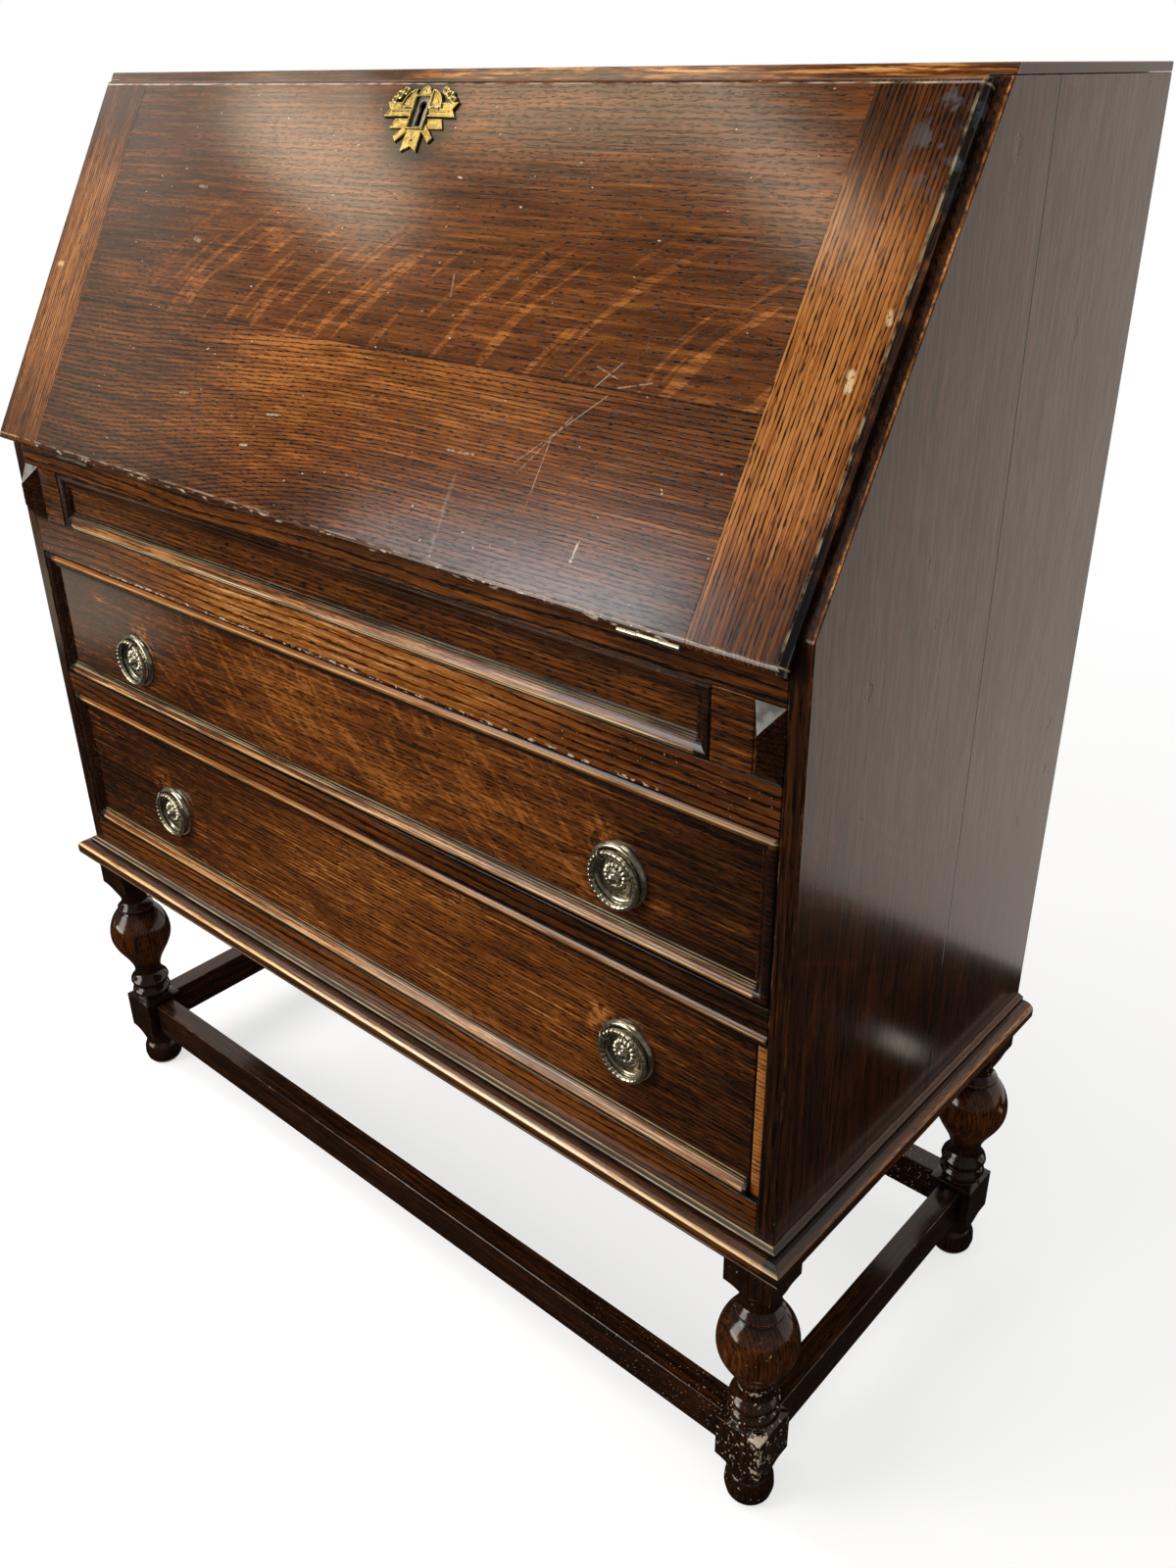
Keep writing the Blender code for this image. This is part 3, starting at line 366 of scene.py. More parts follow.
def spots(graph, place, size, share):
    """Scattered specks of about a size, in about a share of the surface."""
    return graph.patches(place, 0.5 / size, share, share + 0.04, detail=1.0)


def ray_figure(graph, x, rise, lean, curve, width, length):
    """Silver-grain strokes of quartered oak that lean over as they rise."""
    bend = rise * lean + rise * rise * curve
    strokes = graph.join(x - bend, rise, 0.0)
    return graph.patches(strokes, (0.55 / width, 0.55 / length, 1.0), 0.55, 0.6, detail=2.5)


# Fall
SEAM = 0.1428
SEAM_HALF = 0.0003
LIP_FILLET = (0.4438, 0.0046, 0.3428)
# Scratches and chips: from and to (across, up the slope), width, strength
FALL_MARKS = [
    ((0.2607, 0.1377), (0.2013, 0.0828), 0.0007, 0.30),
    ((0.2388, 0.1219), (0.2075, 0.0777), 0.0007, 0.30),
    ((0.2263, 0.1030), (0.2244, 0.0587), 0.0007, 0.34),
    ((0.2482, 0.1422), (0.2639, 0.1599), 0.0007, 0.42),
    ((0.2451, 0.1554), (0.2639, 0.1497), 0.0007, 0.42),
    ((0.2670, 0.1440), (0.2920, 0.1504), 0.0007, 0.36),
    ((0.1387, 0.0821), (0.1637, 0.0828), 0.0013, 0.40),
    ((0.1531, 0.0651), (0.1531, 0.0082), 0.0030, 0.10),
    ((0.2770, 0.0442), (0.2757, 0.0303), 0.0014, 0.65),
    ((-0.0867, 0.0493), (-0.0773, 0.0505), 0.0014, 0.60),
    ((-0.0648, 0.0777), (-0.0491, 0.0790), 0.0014, 0.50),
    ((-0.1840, 0.0790), (-0.1735, 0.0800), 0.0014, 0.30),
    ((0.0890, 0.2040), (0.0925, 0.1880), 0.0012, 0.25),
    ((-0.2310, 0.2080), (-0.2240, 0.2070), 0.0030, 0.28),
    ((-0.2480, 0.2534), (-0.2380, 0.2534), 0.0020, 0.28)]
CLEAT_MARKS = [
    ((-0.4310, 0.1706), (-0.4260, 0.1706), 0.0040, 0.45),
    ((0.4265, 0.1740), (0.4280, 0.1650), 0.0040, 0.50),
    ((0.4370, 0.2110), (0.4390, 0.2050), 0.0030, 0.40)]


def fall_sweep(graph, parts):
    """The lower board's rings climb to the right and level out, as on the flank of a cathedral."""
    x, a = parts[0], parts[1]
    lower = graph.step(a, SEAM + SEAM_HALF, SEAM - SEAM_HALF)
    return lower * graph.step(x, -0.33, 0.1, 0.0, 0.075) * graph.step(a, 0.0, SEAM, 1.0, 0.3)


def fall_rings(graph, parts):
    lower = graph.step(parts[1], SEAM + SEAM_HALF, SEAM - SEAM_HALF, 0.05, 1.0)
    return lower * graph.step(parts[0], -0.2, 0.1, 0.26, 0.36)


def fall_extra(graph, place, parts):
    """Ray figure on the upper board, the lighter and darker parts of both boards, and a painted shadow
    round the escutcheon.
    """
    x, a = parts[0], parts[1]
    upper = graph.step(a, SEAM - SEAM_HALF, SEAM + SEAM_HALF)
    lower = 1.0 - upper
    rise = a - SEAM
    rays = ray_figure(graph, x, rise, 0.55, 5.0, 0.009, 0.05) * upper * 0.17
    rays = rays * graph.step(rise, 0.125, 0.06) * graph.band(x, -0.2, 0.36, 0.1)
    warm = lower * graph.band(x, -0.04, 0.16, 0.16) * graph.step(a, 0.04, SEAM - 0.01) * 0.15
    ground = upper * graph.step(rise, 0.16, 0.1) * -0.06
    left = graph.step(x, -0.1, -0.36) * -0.08
    low = graph.step(a, 0.06, 0.0) * -0.14
    low_right = lower * graph.step(x, 0.12, 0.36) * -0.03
    top = graph.step(a, 0.24, 0.33) * -0.1
    seam = graph.band(a, SEAM - SEAM_HALF, SEAM + SEAM_HALF, 0.0005) * -0.25
    # Painted shadow round the escutcheon
    escutcheon_shadow = graph.near(place, (0.0, 0.317, FALL_FACE), 0.026, 0.022) * -0.26
    smear = graph.near(place, (-0.123, 0.2136, FALL_FACE), 0.006, 0.012) * 0.16
    return rays + ground + warm + left + low + low_right + top + seam + escutcheon_shadow + smear


def lip_line(graph, place, parts):
    """The pale, broken line of the fillet round the lip, a painted highlight."""
    across, low, high = LIP_FILLET
    ends = graph.band(abs(parts[0]), across - 0.0004, across + 0.0004, 0.0004)
    foot = graph.band(parts[1], low - 0.0004, low + 0.0004, 0.0004)
    head = graph.band(parts[1], high - 0.0005, high + 0.0005, 0.0005)
    worn = graph.patches(place, 70, 0.38, 0.62, detail=3.0)
    return graph.most(ends, foot, head) * worn * 0.5


def marks(graph, place, parts, strokes):
    """The painted highlight line round the lip, and scratches."""
    flat = graph.join(parts[0], parts[1], 0.0)
    total = lip_line(graph, place, parts)
    broken = graph.patches(place, 260, 0.34, 0.52)
    for start, end, width, strength in strokes:
        total = graph.most(total, graph.stroke(flat, (*start, 0), (*end, 0), width) * broken * strength)
    return total


def fall_flecks(graph, place, parts):
    specks = spots(graph, graph.vector("MULTIPLY", place, (0.6, 1.1, 1.0)), 0.0017, 0.78) * 0.75
    edge = graph.band(parts[1], -0.002, 0.002, 0.002)
    edge = edge * graph.patches(place, (90, 260, 260), 0.56, 0.64, detail=3.0) * 0.7
    return graph.most(marks(graph, place, parts, FALL_MARKS), specks, edge)


def cleat_extra(graph, place, parts):
    """Darker at both ends and the outer rim, with a rubbed thumbnail edge inside a quirk darkened by
    painted shade.
    """
    x, a = parts[0], parts[1]
    right = graph.step(x, -0.01, 0.01)
    top = graph.step(a, 0.24, 0.32) * (-0.22 - right * 0.16)
    low = graph.step(a, 0.1, 0.01) * (-0.16 - right * 0.16)
    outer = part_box("fall_cleat_right")[1].x - abs(x)
    rim = graph.step(outer, 0.02, 0.006) * -0.14
    rubbed = graph.patches(place, 60, 0.5, 0.64, -0.36, -0.08, detail=4.0)
    thumb = graph.step(outer, 0.0048, 0.0044) * rubbed
    # Painted shade in the quirk
    quirk_shade = graph.band(outer, 0.0044, 0.005, 0.0003) * -0.45
    return top + low + rim + thumb + quirk_shade - (1.0 - right) * 0.07


def cleat_flecks(graph, place, parts):
    return marks(graph, place, parts, CLEAT_MARKS)


def cleat_tint(graph, colour, place, parts):
    """A grey patch at the top of the right cleat."""
    x, a = parts[0], parts[1]
    where = graph.step(x, 0.4, 0.43) * graph.step(a, 0.265, 0.31)
    where = where * graph.patches(place, 70, 0.5, 0.62, detail=3.0) * 0.55
    return graph.mix(where, colour, (0.085, 0.10, 0.115))


# Drawers
def pull_places():
    """Each pull's plate centre and the way from it to the ring's pivot."""
    places = {}
    for level in LEVELS:
        for side in SIDES:
            ring = Vector(joints[f"ring_{level}_{side}_swing"]["pos_m"])
            middle = plate_centre(f"pull_{level}_{side}_plate")
            way = Vector((ring.x - middle.x, 0, ring.z - middle.z)).normalized()
            places[(level, side)] = (Vector((middle.x, PLATE_BACK, middle.z)), way)
    return places


def plate_centre(name):
    """The middle of a plate's round back, apart from the eye on its rim."""
    back = [v.co for v in nodes[name].data.vertices if v.co.y > PLATE_BACK - 1e-5]
    low = Vector([min(co[i] for co in back) for i in range(3)])
    high = Vector([max(co[i] for co in back) for i in range(3)])
    return (low + high) / 2


def drawer_extra(level):
    """Warmer in the middle, darker at the ends and rubbed by the rings; bare where a strip is lost."""
    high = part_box(f"drawer_{level}_front")[1]

    def extra(graph, place, parts):
        x, z = parts[0], parts[2]
        if level == "upper":
            middle = graph.band(x, -0.1, 0.22, 0.2) * 0.12
            drop = high.z - z
            rays = ray_figure(graph, x, drop, 0.45, 4.0, 0.0070, 0.022)
            rays = rays * graph.band(x, -0.25, 0.26, 0.08) * 0.13
        else:
            middle = graph.band(x, -0.06, 0.22, 0.22) * 0.16
            rays = 0.0
        ends = graph.step(abs(x), 0.24, 0.4) * -0.15
        # Painted shade just below the top strip
        shade = graph.step(z, high.z - 0.014, high.z - 0.024, 1.0, 0.0) * -0.1
        total = middle + ends + rays + shade
        for (floor, _), (centre, way) in pulls.items():
            if floor == level:
                rubbed = graph.near(place, tuple(centre + way * 0.028), 0.008, 0.016)
                bitten = graph.patches(place, 110, 0.4, 0.56, detail=3.0)
                total = total + rubbed * bitten * 0.34
        if level == "lower":
            bare = graph.step(x, high.x - 0.0098, high.x - 0.0092)
            glue = graph.band(x, high.x - 0.0112, high.x - 0.0100, 0.0006)
            total = total + bare * 0.66 - glue * 0.35
        return total

    return extra


# Planted moulding, from its outer edge inwards: what its sections add to the level, with painted shadow in
# the gaps and fillets, painted shade on faces turned down and thin painted highlight lines; how golden and
# how dull they are worn; and the painted highlights where the light catches them
STRIP = 0.0141
LOW_STRIP = [
    (0.0, -0.45), (0.0009, -0.42), (0.0014, 0.04), (0.0030, 0.22), (0.0046, 0.24), (0.0060, 0.22),
    (0.0066, 0.10), (0.0090, 0.06), (0.0100, 0.04), (0.0102, 0.10), (0.0104, -0.46), (0.0110, -0.46),
    (0.0112, 0.10), (0.0120, 0.10), (0.0122, -0.46), (0.0129, -0.46), (0.0131, 0.06), (0.0140, 0.06)]
LOW_GOLD = [
    (0.0, 0.0), (0.0012, 0.1), (0.0024, 0.9), (0.0062, 1.0), (0.0070, 0.7), (0.0090, 0.4),
    (0.0104, 0.1)]
LOW_DULL = [(0.0, 0.12), (0.0050, 0.10), (0.0066, 0.02), (0.0102, 0.0), (0.0140, 0.0)]
LOW_GLEAM = [
    (0.0, 0.0), (0.0042, 0.0), (0.0048, 0.75), (0.0058, 0.75), (0.0063, 0.0), (0.0092, 0.0),
    (0.0096, 0.35), (0.0101, 0.35), (0.0104, 0.0), (0.0110, 0.0), (0.0112, 0.45), (0.0119, 0.45),
    (0.0122, 0.0), (0.0130, 0.0), (0.0132, 0.45), (0.0138, 0.45), (0.0140, 0.1)]
HIGH_STRIP = [
    (0.0, -0.50), (0.0009, -0.46), (0.0012, 0.16), (0.0034, 0.28), (0.0040, 0.46), (0.0056, 0.48),
    (0.0078, 0.44), (0.0098, 0.28), (0.0106, -0.25), (0.0140, -0.20)]
HIGH_DULL = [(0.0, 0.04), (0.0036, 0.03), (0.0044, 0.0), (0.0056, 0.0), (0.0070, 0.08), (0.0140, 0.10)]
HIGH_GLEAM = [(0.0, 0.0), (0.0036, 0.0), (0.0041, 0.50), (0.0051, 0.50), (0.0058, 0.0), (0.0140, 0.0)]
HIGH_RED = [
    (0.0, 0.0), (0.0009, 0.0), (0.0014, 0.75), (0.0036, 0.75), (0.0042, 0.3), (0.0060, 0.3),
    (0.0080, 0.4), (0.0100, 0.0), (0.0140, 0.0)]
RED = (0.30, 0.095, 0.008)
FRIEZE_STRIP = [
    (0.0, 0.06), (0.0012, 0.02), (0.0016, -0.48), (0.0021, -0.46), (0.0025, 0.26), (0.0045, 0.18),
    (0.0100, 0.04), (0.0102, 0.06), (0.0104, -0.46), (0.0110, -0.46), (0.0112, 0.04), (0.0120, 0.04),
    (0.0122, -0.46), (0.0129, -0.46), (0.0131, 0.02), (0.0140, 0.02)]
FRIEZE_DULL = [
    (0.0, 0.10), (0.0024, 0.10), (0.0030, 0.12), (0.0050, 0.10), (0.0066, 0.02), (0.0140, 0.0)]
FRIEZE_GLEAM = [
    (0.0, 0.0), (0.0002, 0.55), (0.0010, 0.55), (0.0013, 0.0), (0.0022, 0.0), (0.0025, 0.75),
    (0.0034, 0.65), (0.0040, 0.0), (0.0092, 0.0), (0.0097, 0.22), (0.0102, 0.22), (0.0105, 0.0),
    (0.0110, 0.0), (0.0112, 0.24), (0.0119, 0.24), (0.0122, 0.0), (0.0130, 0.0), (0.0132, 0.24),
    (0.0138, 0.24), (0.0140, 0.1)]


def gold_streaks(graph, place):
    """Long streaks of worn, pale wood along a moulding."""
    return graph.patches(place, (12, 520, 520), 0.44, 0.6, detail=4.0, roughness=0.65)


def mould_extra(graph, place, parts):
    """Top strips rubbed red, bottom strips rubbed to the pale wood, end strips left dark, with painted
    shade in the gaps, fillets and faces turned down, and a painted shadow line at the ends.
    """
    x, z = parts[0], parts[2]
    total = graph.step(abs(x), 0.427, 0.43) * -0.18
    streaks = gold_streaks(graph, place) * graph.band(x, -0.36, 0.4, 0.1)
    for level in LEVELS:
        low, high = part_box(f"drawer_{level}_moulding")
        down = high.z - z
        up, at_foot = foot_of(graph, f"drawer_{level}_moulding", parts)
        at_head = graph.band(z, high.z - STRIP, high.z, 0.0001) * between_ends(graph, x, high.x)
        gold = graph.curve(up, LOW_GOLD) * streaks * 0.66
        rubbed = graph.curve(up, LOW_STRIP) + gold + (0.16 if level == "lower" else 0.0)
        total = total + at_foot * rubbed
        bright = graph.band(down, 0.004, 0.0088, 0.0008) * (streaks - 0.4) * 0.26
        far = graph.step(x, 0.06, 0.36) * graph.band(down, 0.0014, 0.01, 0.0006) * -0.3
        total = total + at_head * (graph.curve(down, HIGH_STRIP) + bright + far)
        # Painted shadow in the gap at the outer ends
        outer = graph.step(abs(x), high.x - 0.0016, high.x - 0.0012) * -0.5
        total = total + outer * graph.band(z, low.z, high.z, 0.0001)
    return total


def gleam_along(graph, place, points, up, where):
    """Painted highlights: broken bright lines where the edges of a moulding catch the light."""
    broken = graph.patches(place, (14, 300, 300), 0.38, 0.6, 0.15, 1.0, detail=4.0)
    return graph.curve(up, points) * where * broken


def between_ends(graph, x, reach):
    """1 between the end strips of a moulding that reaches this far."""
    return graph.step(abs(x), reach - 0.012, reach - 0.015)


def foot_of(graph, name, parts):
    """The height up a moulding and 1 on its bottom strip."""
    low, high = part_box(name)
    strip = graph.band(parts[2], low.z, low.z + STRIP, 0.0001)
    return parts[2] - low.z, strip * between_ends(graph, parts[0], high.x)


def head_of(graph, name, parts):
    """The depth below the top of a moulding and 1 on its top strip."""
    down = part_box(name)[1].z - parts[2]
    return down, graph.band(down, 0.0, STRIP, 0.0001) * graph.band(parts[0], -0.42, 0.438, 0.004)


def strips(graph, parts):
    """Each drawer moulding's height up and bottom strip, and its depth down and top strip."""
    for level in LEVELS:
        name = f"drawer_{level}_moulding"
        yield *foot_of(graph, name, parts), *head_of(graph, name, parts)


# Painted highlight lines along the drawer mouldings' edges
def mould_painted_highlights(graph, place, parts):
    total = 0.0
    for up, foot, down, head in strips(graph, parts):
        total = graph.most(gleam_along(graph, place, LOW_GLEAM, up, foot), total)
        total = graph.most(gleam_along(graph, place, HIGH_GLEAM, down, head), total)
    return total


def mould_tint(graph, colour, place, parts):
    """The top strips' round edge is rubbed red."""
    worn = graph.patches(place, (16, 300, 300), 0.36, 0.56, 0.2, 1.0, detail=4.0)
    worn = worn * graph.step(parts[0], 0.36, 0.02, 0.55, 1.0)
    for _, _, down, head in strips(graph, parts):
        colour = graph.mix(graph.curve(down, HIGH_RED) * head * worn, colour, RED)
    return colour


def mould_dull(graph, place, parts):
    total = 0.0
    for up, foot, down, head in strips(graph, parts):
        total = graph.curve(up, LOW_DULL) * foot + total
        total = graph.curve(down, HIGH_DULL) * head + total
    return total


# Painted highlight lines along the frieze moulding's edges
def frieze_mould_painted_highlights(graph, place, parts):
    up, where = foot_of(graph, "frieze_moulding", parts)
    return gleam_along(graph, place, FRIEZE_GLEAM, up, where)


def frieze_mould_dull(graph, place, parts):
    up, where = foot_of(graph, "frieze_moulding", parts)
    return graph.curve(up, FRIEZE_DULL) * where


def frieze_mould_extra(graph, place, parts):
    x = parts[0]
    up, at_foot = foot_of(graph, "frieze_moulding", parts)
    slope = graph.band(up, 0.0026, 0.008, 0.002) * graph.band(x, -0.28, 0.24, 0.14) * 0.56
    worn = gold_streaks(graph, place) * slope
    ends = (1.0 - between_ends(graph, x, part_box("frieze_moulding")[1].x)) * -0.16
    return at_foot * (graph.curve(up, FRIEZE_STRIP) + worn) + ends


# Base moulding, from its top down: its section's level, with painted highlight lines and painted shade in
# the quirk and under the nose; how golden and how dull it is worn; and its painted highlight lines
BASE_SECTION = [
    (0.0, -0.10), (0.0003, 0.20), (0.0009, 0.20), (0.0012, -0.14), (0.0019, -0.14), (0.0021, 0.18),
    (0.0026, 0.18), (0.0029, -0.20), (0.0040, -0.24), (0.0043, -0.50), (0.0051, -0.50), (0.0053, 0.02),
    (0.0064, 0.0), (0.0076, 0.10), (0.0086, 0.34), (0.0100, 0.36), (0.0108, 0.08), (0.0130, 0.04),
    (0.0172, 0.0), (0.0177, 0.20), (0.0184, 0.18), (0.0190, -0.20), (0.0227, -0.30)]
BASE_GOLD = [
    (0.0, 0.2), (0.0010, 0.2), (0.0014, 0.0), (0.0060, 0.1), (0.0074, 0.5), (0.0084, 1.0),
    (0.0102, 1.0), (0.0110, 0.2), (0.0130, 0.1), (0.0227, 0.0)]
BASE_DULL = [
    (0.0, 0.20), (0.0042, 0.20), (0.0052, 0.04), (0.0104, 0.04), (0.0114, 0.14), (0.0227, 0.20)]
BASE_GLEAM = [
    (0.0, 0.0), (0.0003, 0.30), (0.0008, 0.30), (0.0011, 0.0), (0.0020, 0.0), (0.0022, 0.45),
    (0.0026, 0.45), (0.0029, 0.0), (0.0080, 0.0), (0.0088, 0.90), (0.0099, 0.90), (0.0106, 0.0),
    (0.0174, 0.0), (0.0178, 0.40), (0.0183, 0.40), (0.0187, 0.0), (0.0227, 0.0)]


# Painted highlight lines along the base moulding
def base_painted_highlights(graph, place, parts):
    drop = Z_CASE - parts[2]
    broken = graph.patches(place, (14, 14, 300), 0.36, 0.58, 0.3, 1.0, detail=4.0)
    return graph.curve(drop, BASE_GLEAM) * broken


def base_dull(graph, place, parts):
    return graph.curve(Z_CASE - parts[2], BASE_DULL)


def base_extra(gold):
    def extra(graph, place, parts):
        drop = Z_CASE - parts[2]
        streaks = graph.patches(place, (12, 12, 420), 0.4, 0.58, detail=4.0, roughness=0.65)
        worn = graph.curve(drop, BASE_GOLD) * (0.25 + streaks) * gold
        corner = graph.step(parts[1], 0.06, Y_FRONT, 0.0, -0.32) * graph.step(parts[0], 0.456, 0.46)
        return graph.curve(drop, BASE_SECTION) + worn + corner

    return extra


# Case
def top_extra(graph, place, parts):
    """The front edge of the top is rubbed to gold on its right half."""
    x, y = parts[0], parts[1]
    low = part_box("top_board")[0]
    front = graph.step(y, low.y + 0.014, low.y + 0.008)
    worn = graph.patches(place, (16, 340, 340), 0.42, 0.6, detail=4.0, roughness=0.65)
    reach = 0.35 + graph.band(x, 0.02, 0.44, 0.12) * 0.65
    return front * reach * (0.1 + worn * 0.42)


def rail_extra(graph, place, parts):
    """The rail over the upper drawer is rubbed orange along its middle; the others are darker; the frieze
    rail, divider and base rail have painted shadow lines along their top and bottom edges.
    """
    x, z = parts[0], parts[2]
    low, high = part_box("frieze_rail")
    over = graph.band(z, low.z, high.z, 0.001)
    warm = over * (0.06 + graph.band(x, -0.14, 0.16, 0.18) * 0.22)
    foot = graph.step(z, Z_CASE + 0.035, Z_CASE + 0.03) * 0.1
    # Painted shadow in the gaps: dark lines along the top and bottom edges of these boards
    for name in ("frieze_rail", "drawer_divider", "base_rail"):
        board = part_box(name)
        lines = graph.most(graph.band(z, board[0].z, board[0].z + 0.0005, 0.0004),
                           graph.band(z, board[1].z - 0.0005, board[1].z, 0.0004))
        foot = foot - lines * 0.3
    between = graph.band(z, *[edge.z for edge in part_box("drawer_divider")], 0.001)
    shade = between * graph.step(x, -0.05, 0.25) * -0.14
    bed = graph.step(z, 0.736, 0.7375) * 0.07
    return warm + foot + shade + bed - graph.step(abs(x), 0.25, 0.42) * 0.1


def rail_flecks(graph, place, parts):
    """Chips along the lower edge of the rail over the upper drawer, and a few specks above it."""
    x, z = parts[0], parts[2]
    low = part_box("frieze_rail")[0]
    edge = graph.band(z, low.z, low.z + 0.0022, 0.0012)
    chips = graph.patches(place, (150, 150, 300), 0.56, 0.62, detail=2.0)
    rail = edge * graph.band(x, -0.3, 0.32, 0.06) * chips * 0.8
    over = graph.band(z, low.z, low.z + 0.030, 0.002)
    return graph.most(rail, over * spots(graph, place, 0.001, 0.74) * 0.7)


# Dents in the right side: (back from the middle, height, size)
SIDE_DENTS = [
    (-0.0158, 1.0289, 0.0050), (0.0537, 0.9706, 0.0015), (0.1037, 0.9122, 0.0050),
    (-0.0697, 0.7956, 0.0030), (-0.0519, 0.7500, 0.0025), (-0.0352, 0.7511, 0.0025),
    (-0.1297, 0.7289, 0.0050), (0.1926, 0.6689, 0.0030), (0.1681, 0.6000, 0.0035),
    (0.1731, 0.5567, 0.0040), (0.1337, 0.5233, 0.0025), (-0.1241, 0.6356, 0.0020)]
SIDE_JOINT = 0.0285
SIDE_PATCH = (0.051, 1.0615, 0.014, 0.005)
# The pale colour painted over the upper part of the right side as a sheen
PAINTED_SHEEN = (0.29, 0.20, 0.13)


def side_dents(graph, place, parts):
    """Knocks and the glued joint of the right side."""
    y, z = parts[1], parts[2]
    ragged = graph.noise(place, 420, detail=2.0) * 0.008
    flat = graph.join(0.0, y, z * 0.6)
    total = graph.band(y, SIDE_JOINT - 0.0003, SIDE_JOINT + 0.0003, 0.0008) * 0.8
    for back, height, size in SIDE_DENTS:
        away = graph.measure("DISTANCE", flat, (0.0, back, 0.6 * height)) + ragged - 0.004
        total = graph.most(total, graph.step(away, size, size * 0.5))
    return total


def side_extra(graph, place, parts):
    """The glued joint, ray figure, a let-in patch at the top and the rubbed edge along the slope."""
    y, z = parts[1], parts[2]
    joint = graph.band(y, SIDE_JOINT - 0.0007, SIDE_JOINT + 0.0007, 0.001) * -0.6
    arcs = ray_figure(graph, y, 0.8 - z, 0.2, 3.0, 0.01, 0.05)
    middle, height, half_width, half_height = SIDE_PATCH
    across = abs(y - middle) * (1 / half_width)
    tall = abs(z - height) * (1 / half_height)
    patch = graph.step(across + tall, 1.05, 0.95) * 0.2
    front = graph.step(y, Y_FRONT + 0.004, Y_FRONT + 0.001) * graph.step(z, 0.8, 0.4) * -0.1
    arcs = arcs * graph.step(z, 0.45, 0.6) * graph.step(y, Y_FRONT + 0.004, Y_FRONT + 0.02) * 0.1
    facing = graph.facing(tuple(OUT_OF_SLOPE))
    outer = X_OUT - abs(parts[0])
    rubbed = graph.patches(place, 50, 0.36, 0.56, 0.2, 0.52, detail=4.0)
    arris = graph.step(outer, 0.0026, 0.0018) * graph.step(facing, 0.93, 0.97) * rubbed
    return joint + arcs + patch + front + arris


def side_painted_sheen(graph, colour, place, parts):
    """A painted sheen, pale as the reflection of a wall, streaked along the grain over the upper part,
    that ends towards the foot.
    """
    y, z = parts[1], parts[2]
    zone = graph.step(z + y * 0.46, 0.45, 0.65)
    back = graph.most(z - PIN.z, 0.0) * (-1 / math.tan(SLOPE))
    zone = zone * graph.step(y + back - Y_FRONT, 0.0, 0.1, 0.6, 1.0)
    facing = graph.facing((1.0, 0.0, 0.0))
    zone = zone * graph.step(abs(facing), 0.9, 0.97)
    streak = graph.patches(place, (290, 290, 26), 0.28, 0.72, 0.3, 1.0, detail=3.0, roughness=0.7)
    arcs = graph.join(0.0, y - z * z * 0.15, z * 0.5)
    figure = graph.patches(arcs, (1, 22, 12), 0.34, 0.66, 0.42, 0.58, detail=3.0)
    joint = graph.band(y, SIDE_JOINT - 0.0006, SIDE_JOINT + 0.0006, 0.0008)
    return graph.mix(zone * streak * figure * (1.0 - joint), colour, PAINTED_SHEEN)


def loper_painted_reflection(graph, colour, place, parts):
    """The upper facet of a loper's nose, painted pale grey as a reflection."""
    facing = graph.facing((0.0, -0.76, 0.65))
    mottle = graph.patches(place, 120, 0.3, 0.6, 0.4, 0.9, detail=3.0)
    return graph.mix(graph.step(facing, 0.93, 0.97) * mottle, colour, (0.24, 0.24, 0.23))


def leg_extra(graph, place, parts):
    """The bulbs glow where hands have rubbed them; the collar's rim gets a painted highlight and the
    groove beneath it a painted shadow.
    """
    z = parts[2]
    mottle = graph.patches(place, (150, 150, 60), 0.36, 0.6, detail=4.0)
    glow = graph.band(z, BULB[0] - 0.03, BULB[0] + 0.022, 0.012) * (0.09 + mottle * 0.16)
    # Painted highlight on the collar's rim and painted shadow in the groove under it
    collar_highlight = graph.band(z, 0.2186, 0.2206, 0.0004) * 0.16
    groove_shadow = graph.band(z, 0.216, 0.2181, 0.0004) * -0.5
    return glow + collar_highlight + groove_shadow


def leg_flecks(graph, place, parts):
    """The front right leg has lost flakes of finish, most of all on its lower block and foot."""
    x, y, z = parts
    low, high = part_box("leg_front_right")
    centre = (low + high) / 2
    corner = graph.step(x, centre.x - 0.03, centre.x - 0.028)
    corner = corner * graph.step(y, centre.y + 0.05, centre.y + 0.04)
    from_centre = graph.vector("SUBTRACT", place, tuple(centre))
    towards = graph.measure("DOT_PRODUCT", from_centre, (0.7071, -0.7071, 0.0))
    arris = graph.step(towards, 0.022, 0.029) * graph.band(z, 0.05, 0.0945, 0.003)
    shoulder = graph.step(towards, 0.018, 0.024) * graph.band(z, 0.093, 0.096, 0.001)
    share = (graph.step(z, 0.17, 0.1, 0.0, 0.09) + arris * 0.08 + shoulder * 0.24
             + graph.step(z, 0.05, 0.04, 0.0, -0.05))
    neck = graph.band(z, 0.135, 0.1405, 0.003) * 0.12
    flake = graph.noise(place, (330, 330, 260), detail=3.0)
    return graph.step(flake + share + neck, 0.7, 0.75) * corner * 0.85


def stretcher_flecks(graph, place, parts):
    """White specks on the front stretcher beside the front right leg."""
    return spots(graph, place, 0.0011, 0.7) * graph.step(parts[0], 0.2, 0.38) * 0.8


